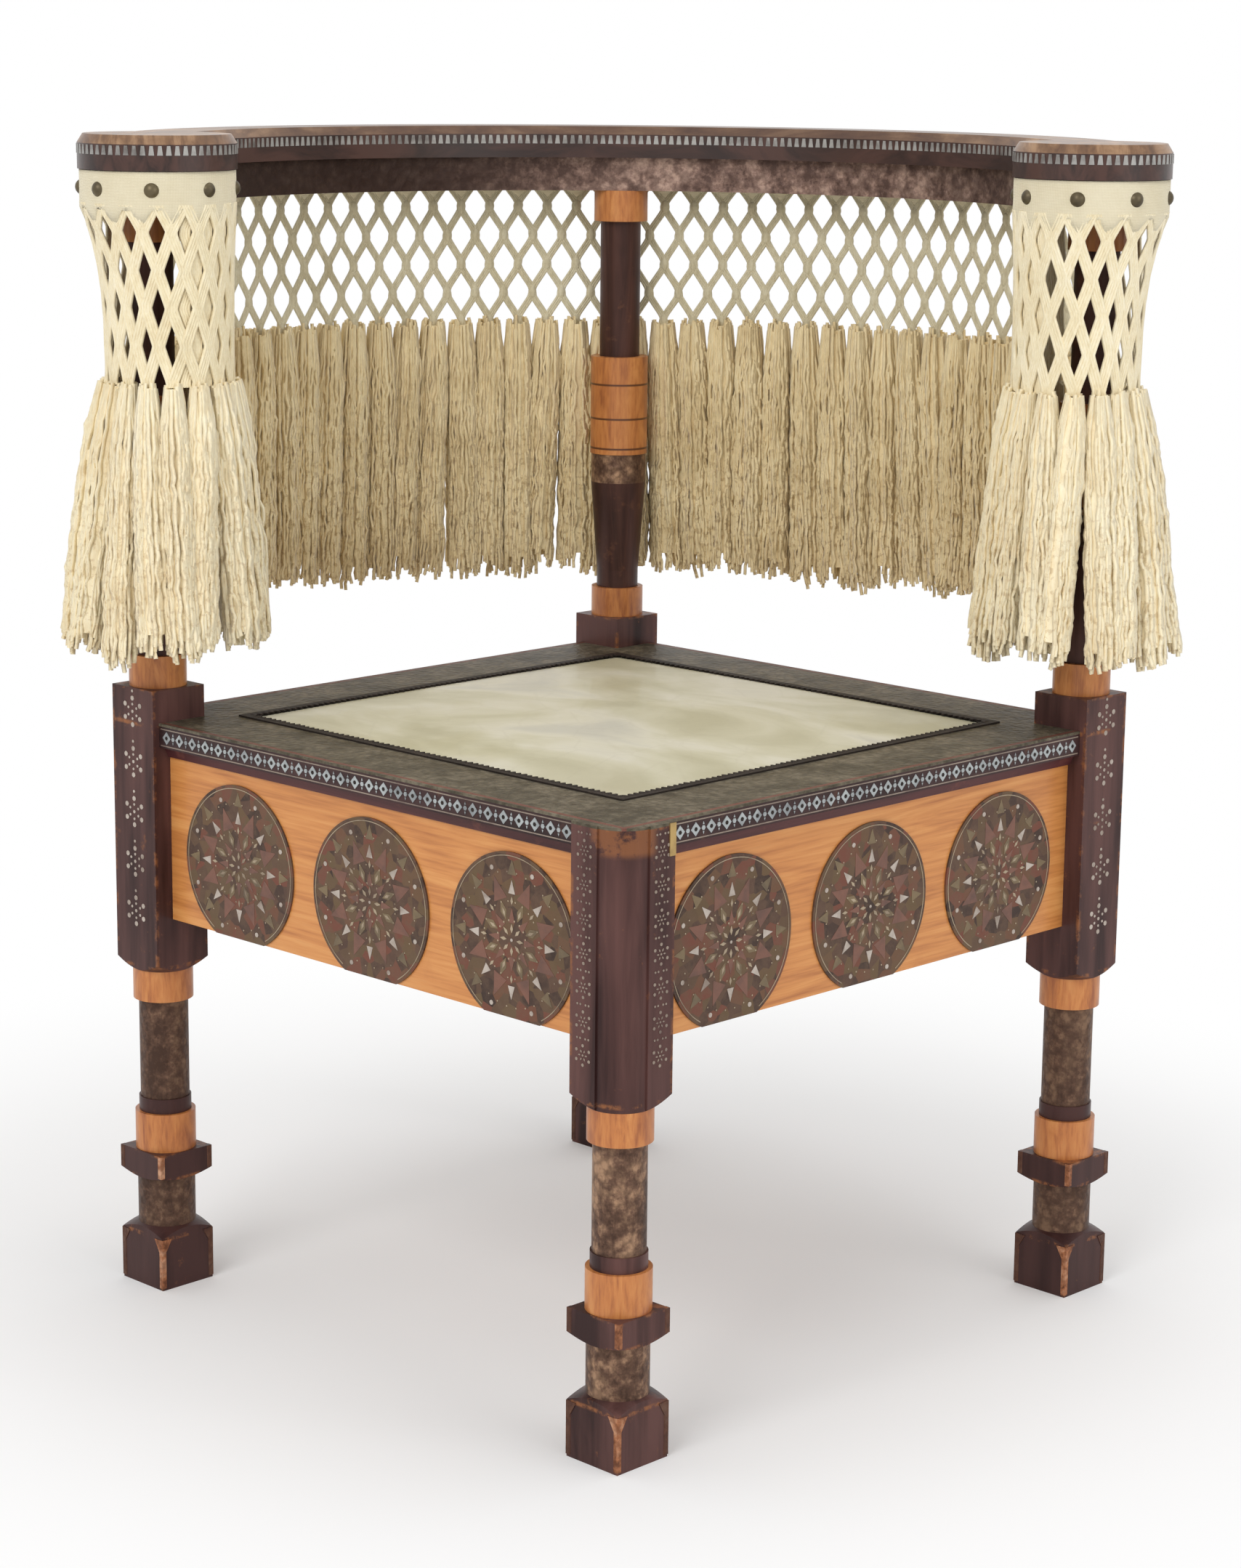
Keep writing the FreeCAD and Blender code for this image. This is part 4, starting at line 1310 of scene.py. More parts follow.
    def rosettes(self) -> None:
        """Spears, dots, petals and a fine rim on every round panel."""
        square = self.square
        places: list[Placing] = []
        face = square.border_reach + square.border_setback - self.rail_setback + self.disc_thickness
        for index in range(square.side_count):
            outward, along = square.side(index)
            shift = -self.rosette_shift if index % 2 == 0 else self.rosette_shift
            for step in (-1, 0, 1):
                base = outward * face + along * (step * self.rosette_pitch + shift)
                places.append(Placing(base + UP * (square.border_low - self.rosette_drop), outward, UP))
        turns = [i * math.pi / 4 for i in range(8)]
        half = math.pi / 8
        red = [spear(24.0, 38.0, 5.6, a + half) for a in turns]
        red += [spear(10.0, 19.0, 2.6, a) for a in turns]
        olive = [spear(38.0, 47.0, 3.6, a) for a in turns]
        olive += [petal(12.0, 24.0, 2.6, a + half) for a in turns]
        spears = [spear(27.0, 35.0, 2.7, a) for a in turns]
        spears += [ngon(1.5, 8, 43.0 * math.cos(a + half), 43.0 * math.sin(a + half)) for a in turns]
        spears += [ngon(1.0, 6)]
        heart = [petal(4.0, 9.5, 1.1, a) for a in turns] + [petal(20.5, 25.5, 1.0, a) for a in turns]
        heart += [petal(14.0, 19.5, 1.0, a + half) for a in turns]
        for radius, count, dot in ((11.5, 16, 0.62), (22.5, 24, 0.55), (39.5, 32, 0.55)):
            heart += [ngon(dot, 5, radius * math.cos(2 * math.pi * (i + 0.5) / count),
                           radius * math.sin(2 * math.pi * (i + 0.5) / count)) for i in range(count)]
        for name, shapes, proud, finish in (
                ("rosette_red", red, 0.12, RED_PIECE), ("rosette_olive", olive, 0.14, OLIVE_PIECE),
                ("rosette_spears", spears, 0.3, BONE), ("rosette_hearts", heart, 0.22, OLD_PEARL),
                ("rosette_rims", self.rim_pieces(), 0.2, OLD_PEARL)):
            motif = prism("disc_inlay", self.above_cut(shapes), proud)
            self.shop.scatter(name, motif, places, finish, "inlaid_wood")

    @staticmethod
    def above_cut(shapes: Iterable[Sequence[Point2]]) -> list[Sequence[Point2]]:
        """The shapes that lie above the lower edge of the panel, which cuts the disc."""
        return [shape for shape in shapes if min(y for _, y in shape) > LOWEST_INLAY]

    def rim_pieces(self) -> list[Sequence[Point2]]:
        """Short bars of the rim.

        Returns:
            The corners of each bar.
        """
        pieces: list[Sequence[Point2]] = []
        for index in range(self.rim_bars):
            first = 2 * math.pi * index / self.rim_bars
            last = first + 2 * math.pi / self.rim_bars
            pieces.append([(r * math.cos(a), r * math.sin(a)) for r, a in
                           ((48.6, first), (49.1, first), (49.1, last), (48.6, last))])
        return pieces


@dataclass
class SeatTop:
    """Parchment, stuffing, webbing and the toothed edging."""

    shop: Workshop
    square: SeatSquare
    half: float = 166.6 * MM
    crown: float = 7.0 * MM
    cells: int = 48
    tooth_pitch: float = 4.6 * MM
    tooth_setback: float = 5.4 * MM
    skin: float = 1.2 * MM
    skin_gap: float = 0.4 * MM
    side_gap: float = 0.3 * MM
    web_length: float = 0.374
    web_width: float = 0.050
    web_pitch: float = 0.105
    web_thickness: float = 1.3 * MM
    web_sway: float = 0.8 * MM
    web_steps: int = 72

    def build(self) -> None:
        """Make the soft parts of the seat."""
        self.parchment()
        self.stuffing()
        self.webbing()
        self.teeth()

    def rise(self, u: float, v: float) -> float:
        """Height of the skin above its edge at a point of the square, from -1 to 1 each way.

        Args:
            u: place along one side.
            v: place along the other.

        Returns:
            The height.
        """
        dome = (1 - u * u) * (1 - v * v)
        pull = noise.noise(Vector((u * 2.3, v * 2.3, 0.7))) * 0.9 * MM
        edge = (1 - abs(u)) * (1 - abs(v))
        ripple = noise.noise(Vector((u * 9.0, v * 9.0, 3.1))) * 0.35 * MM
        return self.crown * dome ** 0.72 + (pull + ripple) * min(1.0, edge * 6.0)

    def grid(self, name: str, low: Callable[[float, float], float], high: Callable[[float, float], float],
             half: float) -> bpy.types.Object:
        """Closed slab whose faces follow two height functions.

        Args:
            name: the piece's name.
            low: height of the underside at a point of the square.
            high: height of the top.
            half: half the side of the square.

        Returns:
            The slab.
        """
        count = self.cells
        turn = Matrix.Rotation(SEAT_TURN, 3, "Z")
        points: list[Vector] = []
        for height in (low, high):
            for i in range(count + 1):
                for j in range(count + 1):
                    u, v = 2 * i / count - 1, 2 * j / count - 1
                    points.append(turn @ Vector((u * half, v * half, height(u, v))))
        faces: list[tuple[int, ...]] = []
        layer = (count + 1) ** 2

        def at(i: int, j: int, k: int) -> int:
            """Number of one corner."""
            return k * layer + i * (count + 1) + j

        for i in range(count):
            for j in range(count):
                faces.append((at(i, j, 1), at(i + 1, j, 1), at(i + 1, j + 1, 1), at(i, j + 1, 1)))
                faces.append((at(i, j, 0), at(i, j + 1, 0), at(i + 1, j + 1, 0), at(i + 1, j, 0)))
        for i in range(count):
            for j in (0, count):
                faces.append((at(i, j, 0), at(i + 1, j, 0), at(i + 1, j, 1), at(i, j, 1)))
                faces.append((at(j, i, 0), at(j, i + 1, 0), at(j, i + 1, 1), at(j, i, 1)))
        return tidy_normals(new_mesh(name, points, faces))

    def parchment(self) -> None:
        """Crowned skin over the whole opening."""
        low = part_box("seat_parchment")[0].z
        made = self.grid("parchment_cover", lambda u, v: low + self.rise(u, v),
                         lambda u, v: low + self.skin + self.rise(u, v), self.half)
        settle(made, ["seat_parchment"], SKIN)

    def stuffing(self) -> None:
        """Wadding under the skin, seen from below between the webs."""
        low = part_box("seat_pad")[0].z
        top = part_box("seat_parchment")[0].z - self.skin_gap
        made = self.grid("seat_stuffing",
                         lambda u, v: low + noise.noise(Vector((u * 8, v * 8, 5.0))) * 0.2 * MM,
                         lambda u, v: top + self.rise(u, v), self.half - self.side_gap)
        settle(made, ["seat_pad"], WADDING)

    def webbing(self) -> None:
        """Interlaced jute webs tacked under the border."""
        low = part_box("webbing_lower")[0].z
        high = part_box("webbing_upper")[1].z
        middle = (low + high) / 2
        turn = Matrix.Rotation(SEAT_TURN, 3, "Z")
        points: list[Vector] = []
        faces: list[tuple[int, ...]] = []
        steps = self.web_steps
        for way in (0, 1):
            for place in (-1, 0, 1):
                start = len(points)
                for step in range(steps + 1):
                    run = (step / steps - 0.5) * self.web_length
                    over = math.cos(math.pi * run / self.web_pitch) * (1 if (place + way) % 2 else -1)
                    height = middle + over * self.web_sway * (1 if way else -1)
                    for edge, lift in ((-1, -1), (1, -1), (1, 1), (-1, 1)):
                        side = place * self.web_pitch + edge * self.web_width / 2
                        flat = (run, side) if way == 0 else (side, run)
                        points.append(turn @ Vector((*flat, height + lift * self.web_thickness / 2)))
                for step in range(steps):
                    a, b = start + 4 * step, start + 4 * step + 4
                    faces += [(a + k, a + (k + 1) % 4, b + (k + 1) % 4, b + k) for k in range(4)]
                faces.append(tuple(start + k for k in (3, 2, 1, 0)))
                faces.append(tuple(start + 4 * steps + k for k in range(4)))
        made = tidy_normals(new_mesh("seat_webbing", points, faces), False)
        settle(made, ["webbing_upper", "webbing_lower"], JUTE)

    def teeth(self) -> None:
        """Row of dark points that overlaps the parchment's edge."""
        places: list[Placing] = []
        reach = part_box("seat_trim")[1].x / math.sqrt(2) - self.tooth_setback
        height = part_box("seat_trim")[1].z
        count = int(2 * reach / self.tooth_pitch)
        for index in range(self.square.side_count):
            outward, along = self.square.side(index)
            for step in range(count):
                offset = (step + 0.5 - count / 2) * self.tooth_pitch
                grow = 0.85 + 0.3 * random.random()
                places.append(Placing(outward * reach + along * offset + UP * height, UP, -outward, grow))
        tooth = prism("tooth", [[(-2.1, -1.0), (2.1, -1.0), (0.5, 2.6), (-0.5, 2.6)]], 0.1, 0.9)
        self.shop.scatter("edging_teeth", tooth, places, TRIM, "trim")


@dataclass
class CrestInlay:
    """Row of pewter teeth round the whole edge of the crest rail."""

    shop: Workshop
    pitch: float = 5.2 * MM
    inner: float = 265.0 * MM
    outer: float = 309.0 * MM
    end_centre: float = 284.0 * MM
    end_radius: float = 48.4 * MM
    foot: float = 718.3 * MM

    def build(self) -> None:
        """Set the teeth along each arc of the outline."""
        places: list[Placing] = []
        for radius, facing in ((self.outer, 1), (self.inner, -1)):
            edge = self.meeting_angle(radius)
            self.run(places, Vector(), radius, edge, math.pi - edge, facing)
        for sign in (-1, 1):
            centre = Vector((sign * self.end_centre, 0.0, 0.0))
            meets = [self.meeting_on_end(r) for r in (self.inner, self.outer)]
            if sign > 0:
                self.run(places, centre, self.end_radius, meets[0] - 2 * math.pi, meets[1], 1)
            else:
                self.run(places, centre, self.end_radius, math.pi - meets[1], 3 * math.pi - meets[0], 1)
        tooth = prism("crest_tooth", [[(-1.7, 0.0), (1.7, 0.0), (1.0, 5.6), (-1.0, 5.6)]], 0.3)
        self.shop.scatter("crest_teeth", tooth, places, TOOTH_PEWTER, "dark_wood")

    def meeting_angle(self, radius: float) -> float:
        """Angle about the chair's middle where an arc meets the round end."""
        return math.acos(arcs_cross(radius, self.end_centre, self.end_radius) / radius)

    def meeting_on_end(self, radius: float) -> float:
        """Angle about the right end's centre where it meets an arc."""
        angle = self.meeting_angle(radius)
        return math.atan2(radius * math.sin(angle), radius * math.cos(angle) - self.end_centre)

    def run(self, places: list[Placing], centre: Vector, radius: float, first: float, last: float,
            facing: int) -> None:
        """Space the teeth evenly along one arc.

        Args:
            places: the list that the places join.
            centre: the arc's centre.
            radius: its radius.
            first: angle where it starts.
            last: angle where it ends.
            facing: 1 where the teeth face away from the centre, -1 towards it.
        """
        count = max(1, round(abs(last - first) * radius / self.pitch))
        for step in range(count):
            angle = first + (last - first) * (step + 0.5) / count
            outward = heading(angle)
            places.append(Placing(centre + outward * radius + UP * self.foot, outward * facing, UP))


@dataclass(frozen=True)
class NetStyle:
    """How one stretch of the net is knotted: its yarns side by side, and how long they stay joined."""

    offsets: tuple[float, ...]
    radius: float
    joined: float
    kiss: float
    knot_size: float


@dataclass
class Hanging:
    """Nailed band, knotted net and tassels, which follow one line round both arms and the back."""

    shop: Workshop
    end_centre: float = 284.0 * MM
    end_radius: float = 46.6 * MM
    back_radius: float = 306.6 * MM
    inner_radius: float = 273.6 * MM
    post_columns: int = 16
    back_columns: int = 43
    rows: int = 5
    first_row: float = 12.0 * MM
    row_pitch: float = 19.7 * MM
    arm_stretch: float = 0.15
    waist: float = 33.0 * MM
    inner_waist: float = 44.0 * MM
    bunching: float = 1.35
    inner_columns: int = 8
    skirt: float = 57.5 * MM
    waist_depth: float = 100.0 * MM
    tassel_fall: float = 172.0 * MM
    blend_run: float = 75.0 * MM
    layer_gap: float = 2.6 * MM
    back_swing: float = 0.05
    band_steps: int = 8
    band_thickness: float = 1.2 * MM
    measuring_steps: int = 400
    tassel_steps: int = 8
    first_seed: int = 11
    arm_style: NetStyle = NetStyle((-2.6 * MM, -0.87 * MM, 0.87 * MM, 2.6 * MM), 1.2 * MM, 1.8 * MM,
                                   0.8 * MM, 0.0)
    back_style: NetStyle = NetStyle((-1.7 * MM, 0.0, 1.7 * MM), 1.05 * MM, 3.4 * MM, 0.9 * MM, 0.95)
    top: float = field(init=False)
    low_edge: float = field(init=False)
    sweep_first: float = field(init=False)
    sweep_last: float = field(init=False)
    arc_first: float = field(init=False)

    def __post_init__(self) -> None:
        """Find where the line passes from the drums to the back."""
        low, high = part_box("textile_band")
        self.low_edge, self.top = low.z, high.z
        outer = self.meeting(self.back_radius)
        inner = self.meeting(self.inner_radius)
        self.arc_first = math.atan2(outer.y, outer.x)
        self.sweep_first = math.atan2(inner.y, inner.x - self.end_centre)
        self.sweep_last = math.atan2(outer.y, outer.x - self.end_centre)

    def meeting(self, radius: float) -> Vector:
        """Where a circle about the chair meets the right drum's band, at the back."""
        x = arcs_cross(radius, self.end_centre, self.end_radius)
        return Vector((x, math.sqrt(radius ** 2 - x ** 2), 0.0))

    def columns(self) -> int:
        """Columns of the net in all."""
        return 2 * self.post_columns + self.back_columns

    def plan(self, column: float) -> tuple[Vector, float, float]:
        """Place on the line in plan.

        Args:
            column: how many columns from the left inner end.

        Returns:
            The point, 1 where the line follows the back and 0 at a drum, and the side of the nearer post.
        """
        end = self.post_columns
        last = self.columns() - end
        if column <= end:
            share = (column / end) ** self.bunching
            angle = math.pi - (self.sweep_first + (self.sweep_last + 2 * math.pi - self.sweep_first) * share)
            centre = Vector((-self.end_centre, 0.0, 0.0))
            return centre + self.end_radius * heading(angle), 0.0, -1.0
        if column >= last:
            point, back, _ = self.plan(self.columns() - column)
            return Vector((-point.x, point.y, 0.0)), back, 1.0
        share = (column - end) / self.back_columns
        angle = math.pi - self.arc_first - (math.pi - 2 * self.arc_first) * share
        run = min(share, 1 - share) * (math.pi - 2 * self.arc_first) * self.back_radius
        back = min(1.0, run / self.blend_run)
        back = back * back * (3 - 2 * back)
        side = -1.0 if share < 0.5 else 1.0
        return self.back_radius * heading(angle), back, side

    def girth(self, depth: float, inner: float) -> float:
        """How wide the cloth hangs round a post.

        Args:
            depth: depth under the band.
            inner: 1 on the side that faces the other post, 0 on the far side.

        Returns:
            Its width beside its width at the band.
        """
        waist = self.waist + (self.inner_waist - self.waist) * inner
        depth = max(depth, 0.0)
        if depth < self.waist_depth:
            eased = 1 - (1 - depth / self.waist_depth) ** 3.6
            return 1 + (waist / self.end_radius - 1) * eased
        share = min(1.3, (depth - self.waist_depth) / self.tassel_fall)
        return (waist + (self.skirt - waist) * share ** 0.85) / self.end_radius

    def outward(self, flat: Vector, back: float, side: float) -> Vector:
        """Direction away from the post or the chair at one place of the line."""
        away = (flat - Vector((side * self.end_centre, 0.0, 0.0))).normalized()
        return away.lerp(flat.normalized(), back).normalized()

    def point(self, column: float, depth: float, proud: float = 0.0, across: float = 0.0) -> Vector:
        """Place of the cloth.

        Args:
            column: how many columns from the left inner end.
            depth: depth under the band's lower edge, as measured at the back.
            proud: distance outwards from the cloth.
            across: distance sideways along the cloth.

        Returns:
            The point.
        """
        flat, back, side = self.plan(column)
        centre = Vector((side * self.end_centre, 0.0, 0.0))
        inner = clamp(0.5 - side * (flat - centre).x / self.end_radius, 0.0, 1.0)
        pulled = centre + (flat - centre) * self.girth(depth, inner)
        swing = max(0.0, depth - self.waist_depth) * self.back_swing
        free = flat + flat.normalized() * (1.2 * MM + swing)
        away = self.outward(flat, back, side)
        where = pulled.lerp(free, back) + away * proud + UP.cross(away) * -across
        net_depth = clamp(depth, 0.0, self.waist_depth)
        return where + UP * (self.low_edge - depth - net_depth * self.arm_stretch * (1 - back))

    def style(self, column: float) -> NetStyle:
        """The net's style at a column."""
        return self.back_style if 0 < column - self.post_columns < self.back_columns else self.arm_style

    def row_depth(self, row: int) -> float:
        """Depth of one row of knots."""
        return self.first_row + row * self.row_pitch

    def build(self) -> None:
        """Make the band, the net, its knots and the tassels."""
        band = self.band()
        last = self.columns() - self.post_columns
        pieces = [self.net("net_left_arm", 0, self.post_columns, ["net_left"]),
                  self.net("net_behind", self.post_columns, last, ["net_back"]),
                  self.net("net_right_arm", last, self.columns(), ["net_right"]),
                  self.knots()]
        quarter = self.back_columns / 4
        cuts = [self.post_columns + round(quarter * i) for i in range(5)]
        pieces.append(self.fringe("tassels_left_arm", 0, cuts[0], ["fringe_left"]))
        for index, (first, end) in enumerate(zip(cuts, cuts[1:])):
            pieces.append(self.fringe(f"tassels_back_{index + 1}", first, end, ["fringe_back"][:index == 1]))
        pieces.append(self.fringe("tassels_right_arm", last, self.columns() + 1, ["fringe_right"]))
        steps = self.measuring_steps
        spots = [self.plan(self.columns() * step / steps)[0] for step in range(steps + 1)]
        length = sum((b - a).length for a, b in zip(spots, spots[1:]))
        self.top - self.low_edge

    def band(self) -> bpy.types.Object:
        """Stiff woven band that the nails hold.

        Returns:
            The band.
        """
        steps = self.columns() * self.band_steps
        rows = self.band_steps
        height = self.top - self.low_edge
        points: list[Vector] = []
        for step in range(steps + 1):
            column = self.columns() * step / steps
            flat, back, side = self.plan(column)
            away = self.outward(flat, back, side)
            for row in range(rows):
                share = row / (rows - 1)
                wave = noise.noise(Vector((column * 0.9, share * 2.0, 1.3))) * 0.45 * MM * share
                points.append(flat + away * (wave + 0.2 * MM) + UP * (self.top - 0.3 * MM - height * share))
            points.append(self.point(column, 3.2 * MM + 4.4 * MM * math.cos(2 * math.pi * column), 0.2 * MM))
        faces = [(s * (rows + 1) + r, (s + 1) * (rows + 1) + r, (s + 1) * (rows + 1) + r + 1,
                  s * (rows + 1) + r + 1) for s in range(steps) for r in range(rows)]
        made = new_mesh("nailed_band", points, faces)
        thick = made.modifiers.new("thickness", "SOLIDIFY")
        thick.thickness = self.band_thickness
        thick.offset = 0.0
        tidy_normals(frozen(made))
        return settle(made, ["textile_band"], BAND_CLOTH)

    def cord_path(self, column: int, sign: int, style: NetStyle) -> list[tuple[float, float, float]]:
        """One zigzag cord of the net.

        Args:
            column: the column whose middle the cord starts from.
            sign: -1 where it goes left first, 1 where it goes right.
            style: the net's style here.

        Returns:
            Column, depth and sideways shift of each bend.
        """
        path = [(column + 0.5, -2.5 * MM, sign * 0.8 * MM)]
        for row in range(self.rows):
            even = row % 2 == 0
            near = column + 0.5 + (sign * 0.5 if even else 0.0)
            shift = (-sign if even else sign) * style.kiss
            depth = self.row_depth(row)
            path += [(near, depth - style.joined, shift), (near, depth, shift * 0.8),
                     (near, depth + style.joined, shift)]
        return path

    def net(self, name: str, first: int, last: int, replaced: list[str]) -> bpy.types.Object:
        """Cords of one stretch of the net.

        Args:
            name: the piece's name.
            first: first column.
            last: column after the last.
            replaced: CAD nodes that it stands for.

        Returns:
            The net.
        """
        points: list[Vector] = []
        edges: list[tuple[int, int]] = []
        style = self.style((first + last) / 2)
        layers = [(column, 0) for column in range(first, last)]
        layers += [(column, 1) for column in range(first, last)
                   if min(column, self.columns() - 1 - column) < self.inner_columns]
        for column, layer in layers:
            for sign in (-1, 1):
                for offset in style.offsets:
                    start = len(points)
                    for where, depth, shift in self.cord_path(column, sign, style):
                        shifted = clamp(where + 0.5 * layer, 0.0, float(self.columns()))
                        wobble = noise.noise(Vector((where * 1.7, depth * 90.0, sign))) * 0.5 * MM
                        aside = shift + offset + wobble
                        points.append(self.point(shifted, depth, -self.layer_gap * layer, aside))
                    edges += [(i, i + 1) for i in range(start, len(points) - 1)]
        made = new_mesh(name, points, [], edges)
        # The back net takes its yarn with painted shade.
        finish = NET_YARN if style is self.arm_style else PAINTED_SHADE_NET_YARN
        self.shop.cords.apply(made, {"Radius": style.radius, "Step": 0.0025, "Sides": 6,
                                     "Material": finish.material()})
        for face in made.data.polygons:
            face.use_smooth = True
        return settle(made, replaced)

    def knots(self) -> bpy.types.Object:
        """Wrapped knots where two cords meet.

        Returns:
            The knots.
        """
        places: list[Placing] = []
        for row in range(self.rows):
            for column in range(self.columns() + 1):
                where = column + 0.5 * (row % 2)
                if not 0.2 < where < self.columns() - 0.2 or not self.style(where).knot_size:
                    continue
                depth = self.row_depth(row)
                spot = self.point(where, depth)
                upward = (spot - self.point(where, depth + 2 * MM)).normalized()
                outward = self.outward(*self.plan(where))
                places.append(Placing(spot, outward, upward, self.style(where).knot_size))
        # The knots, all at the back, take the yarn with painted shade.
        return self.shop.scatter("net_knots", self.knot_motif(), places, PAINTED_SHADE_NET_YARN, "cream_yarn")

    def knot_motif(self) -> bpy.types.Object:
        """Oval bead with three wraps.

        Returns:
            The motif.
        """
        around, along = 10, 11
        points: list[tuple[float, float, float]] = []
        for i in range(along + 1):
            share = i / along
            swell = math.sin(math.pi * share) ** 0.5
            wrap = 1 + 0.08 * math.cos(2 * math.pi * share * 4)
            for k in range(around):
                angle = 2 * math.pi * k / around
                points.append((2.9 * MM * swell * wrap * math.cos(angle), (share - 0.5) * 11.5 * MM,
                               2.1 * MM * swell * wrap * math.sin(angle)))
        faces = [(i * around + k, (i + 1) * around + k, (i + 1) * around + (k + 1) % around,
                  i * around + (k + 1) % around) for i in range(along) for k in range(around)]
        return tidy_normals(new_mesh("knot", points, faces))

    def fringe(self, name: str, first: int, last: int, replaced: list[str]) -> bpy.types.Object:
        """Tassels of one stretch, one under each knot of the last row.

        Args:
            name: the piece's name.
            first: first column.
            last: column after the last.
            replaced: CAD nodes that the tassels stand for.

        Returns:
            The tassels.
        """
        draw = random.Random(first + self.first_seed)
        arm = self.style((first + last) / 2) is self.arm_style
        points: list[Vector] = []
        edges: list[tuple[int, int]] = []
        steps = self.tassel_steps
        top = self.row_depth(self.rows - 1) + 2.5 * MM
        for column in range(first, last):
            start = len(points)
            length = self.tassel_fall + draw.uniform(-6.0, 4.0) * MM - (15.0 * MM if arm else 2.0 * MM)
            drift = draw.uniform(-0.42, 0.42) if arm else draw.uniform(-0.28, 0.28)
            for step in range(steps + 1):
                share = step / steps
                where = clamp(column + drift * share, 0.12, self.columns() - 0.12)
                sway = draw.uniform(-1.5, 1.5) * MM * share
                points.append(self.point(where, top + length * share, sway))
            edges += [(i, i + 1) for i in range(start, start + steps)]
        made = new_mesh(name, points, [], edges)
        # The back tassels take their yarn with painted shade.
        self.shop.tassels.apply(made, {
            "Yarns": 46 if arm else 66, "Head": (3.4 if arm else 6.2) * MM,
            "Spread": (10.2 if arm else 11.4) * MM, "Core": 0.90, "Core end": 0.955,
            "Crinkle": 3.6 * MM,
            "Radius": (1.7 if arm else 1.35) * MM, "Step": 5.6 * MM, "Seed": first + self.first_seed,
            "Material": (TASSEL_YARN if arm else PAINTED_SHADE_TASSEL_YARN).material()})
        return settle(made, replaced)


@dataclass
class SmallTrim:
    """Copper gussets on the feet and a brass strip beside the front block."""

    shop: Workshop
    square: SeatSquare
    foot_height: float = 34.0 * MM

    def build(self) -> None:
        """Set the gussets on the ridges of every foot, then the strip beside the front block."""
        sides: dict[int, list[Placing]] = {-1: [], 1: []}
        for corner in range(self.square.side_count):
            angle = math.radians(-90.0 + 90.0 * corner)
            post = heading(angle) * self.square.post_reach
            for turn in range(4):
                edge = math.radians(90.0 * turn)
                ridge = heading(edge) * self.square.post_half * math.sqrt(2)
                for sign in (-1, 1):
                    outward = heading(edge + sign * SEAT_TURN)
                    sides[sign].append(Placing(post + ridge + UP * self.foot_height, outward, UP))
        for sign, name in ((-1, "foot_gussets_left"), (1, "foot_gussets_right")):
            outline = [(0.0, -0.2), (7.5 * sign, -0.2), (2.4 * sign, -9.0), (0.0, -12.0)]
            gusset = prism("gusset", [outline[::-sign]], 0.45, 0.0)
            self.shop.scatter(name, gusset, sides[sign], STRIP, "copper_strip")
        outward, along = self.square.side(0)
        half = self.square.post_half
        spot = Vector((0.0, -self.square.post_reach, 0.0)) + outward * half + along * (half - 2.6 * MM)
        height = self.square.top - 9.6 * MM
        plate = prism("brass", [[(-2.4, -9.2), (2.4, -9.2), (2.4, 9.2), (-2.4, 9.2)]], 0.7)
        self.shop.scatter("joint_strip", plate, [Placing(spot + UP * height, outward, UP)], OLD_BRASS,
                          "copper_strip")


@dataclass(frozen=True)
class Lamp:
    """One soft square lamp."""

    name: str
    place: tuple[float, float, float]
    power: float
    size: float


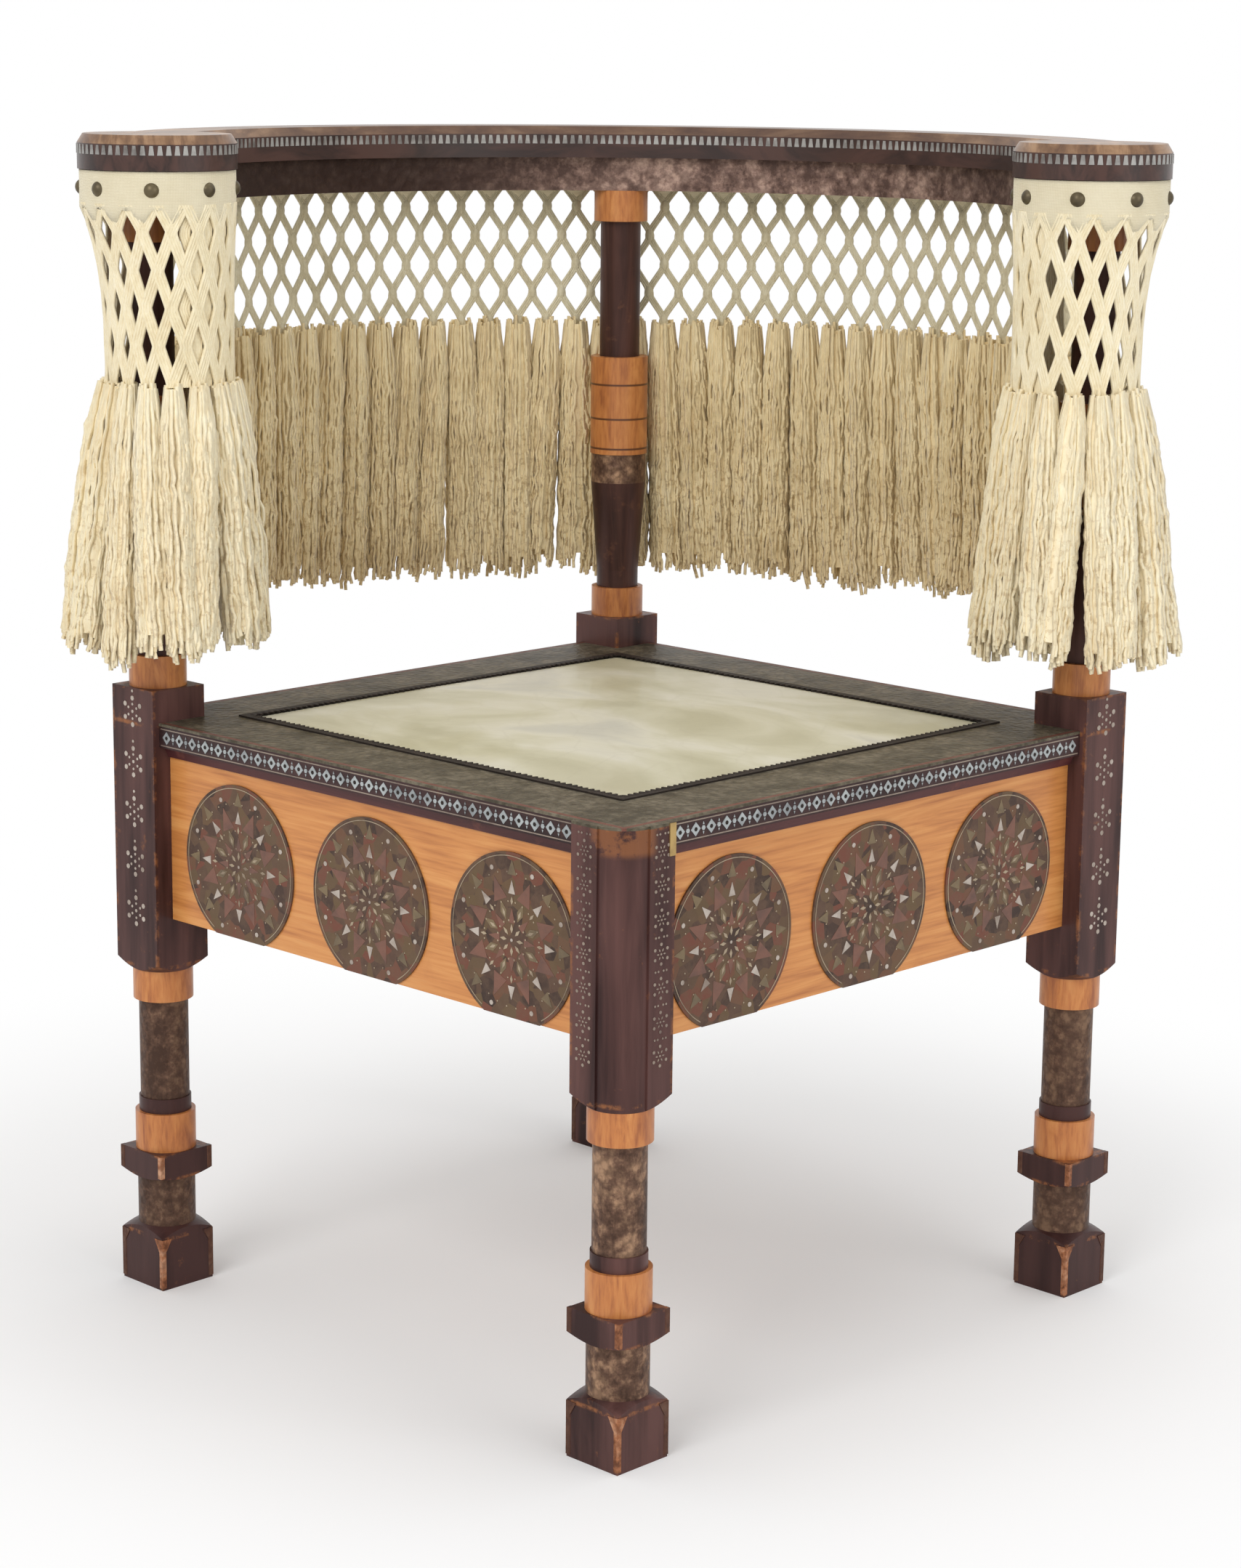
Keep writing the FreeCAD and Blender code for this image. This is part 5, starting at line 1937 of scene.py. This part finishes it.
@dataclass
class Studio:
    """Pale floor, soft lamps and the camera of the photograph."""

    distance: float = 2158.7 * MM
    height: float = 792.1 * MM
    azimuth: float = math.radians(-0.55)
    target_side: float = -3.7 * MM
    target_height: float = 329.2 * MM
    roll: float = math.radians(0.58)
    focal_pixels: float = 4819.8
    centre_x: float = 843.8
    floor_reach: float = 60.0
    aim: tuple[float, float, float] = (0.0, 0.0, 0.4)
    set_up: tuple[Lamp, ...] = (
        Lamp("key", (-1.6, -2.6, 2.6), 48.0, 1.8),
        Lamp("fill", (2.4, -1.9, 1.6), 20.0, 2.0),
        Lamp("top", (0.2, 0.6, 3.0), 22.0, 2.2),
    )

    def build(self) -> None:
        """Make everything that isn't the chair."""
        self.camera()
        self.floor()
        self.lamps()
        bpy.context.scene.view_settings.view_transform = "Standard"

    def camera(self) -> None:
        """Camera fitted to the photograph."""
        side, back = math.cos(self.azimuth), math.sin(self.azimuth)
        eye = Vector((self.distance * back, -self.distance * side, self.height))
        target = Vector((side * self.target_side, back * self.target_side, self.target_height))
        ahead = (target - eye).normalized()
        right = ahead.cross(UP).normalized()
        upward = right.cross(ahead)
        right, upward = (right * math.cos(self.roll) + upward * math.sin(self.roll),
                         upward * math.cos(self.roll) - right * math.sin(self.roll))
        turn = Matrix((right, upward, -ahead)).transposed().to_4x4()
        data = bpy.data.cameras.new("photo_camera")
        data.sensor_width = 36.0
        data.lens = self.focal_pixels / PHOTO_HEIGHT * data.sensor_width
        data.shift_x = (PHOTO_WIDTH / 2 - self.centre_x) / PHOTO_HEIGHT
        made = bpy.data.objects.new("photo_camera", data)
        made.matrix_world = Matrix.Translation(eye) @ turn
        bpy.context.scene.collection.objects.link(made)
        bpy.context.scene.camera = made

    def floor(self) -> None:
        """Large pale floor that keeps the chair's shadow and turns white further off."""
        reach = self.floor_reach
        made = new_mesh("studio_floor", [(-reach, -reach, 0.0), (reach, -reach, 0.0), (reach, reach, 0.0),
                                         (-reach, reach, 0.0)], [(0, 1, 2, 3)])
        s = Shader("pale_floor")
        matt = s.node("ShaderNodeBsdfDiffuse", None, (0.93, 0.93, 0.93))
        glow = s.node("ShaderNodeEmission", None, (1.0, 1.0, 1.0), 1.0)
        x, y, _ = s.split(s.place())
        away = s.reach(x + 0.03, y - 0.06).step(0.32, 0.78)
        share = self.seen(s) * (0.16 + away * 0.84)
        mixed = s.node("ShaderNodeMixShader", None, share, matt.outputs[0], glow.outputs[0])
        s.tree.links.new(mixed.outputs[0], s.output.inputs["Surface"])
        made.data.materials.append(s.material)

    @staticmethod
    def seen(s: Graph) -> Value:
        """1 for rays from the camera, and for those that metal and glass show.

        Args:
            s: the graph that asks.

        Returns:
            The share, 0 or 1.
        """
        path = s.node("ShaderNodeLightPath")
        camera = Value(s, path.outputs["Is Camera Ray"])
        return camera.top(Value(s, path.outputs["Is Glossy Ray"])).top(
            Value(s, path.outputs["Is Transmission Ray"]))

    def lamps(self) -> None:
        """Soft boxes and a white surround."""
        world = bpy.data.worlds.new("studio_air")
        bpy.context.scene.world = world
        world.use_nodes = True
        air = Graph(world.node_tree)
        world.node_tree.nodes.clear()
        out = air.node("ShaderNodeOutputWorld")
        lit = air.node("ShaderNodeBackground", None, (1.0, 1.0, 1.0), 0.60)
        white = air.node("ShaderNodeBackground", None, (1.0, 1.0, 1.0), 1.0)
        mixed = air.node("ShaderNodeMixShader", None, self.seen(air), lit.outputs[0], white.outputs[0])
        world.node_tree.links.new(mixed.outputs[0], out.inputs["Surface"])
        for lamp in self.set_up:
            data = bpy.data.lights.new(lamp.name, "AREA")
            data.energy = lamp.power
            data.size = lamp.size
            made = bpy.data.objects.new(lamp.name, data)
            made.location = lamp.place
            made.rotation_euler = (Vector(self.aim) - Vector(lamp.place)).to_track_quat("-Z", "Y").to_euler()
            bpy.context.scene.collection.objects.link(made)


def write_sizes() -> None:
    """Update the view layer."""
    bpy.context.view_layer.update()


def main() -> None:
    """Dress the chair and set the studio."""
    logging.basicConfig(level=logging.INFO, format="%(name)s: %(message)s")
    random.seed(20)
    Woodwork().dress()
    shop = Workshop()
    square = SeatSquare()
    Studio().build()
    SeatInlay(shop, square).build()
    SeatTop(shop, square).build()
    CrestInlay(shop).build()
    SmallTrim(shop, square).build()
    Hanging(shop).build()
    write_sizes()


if __name__ == "__main__":
    main()
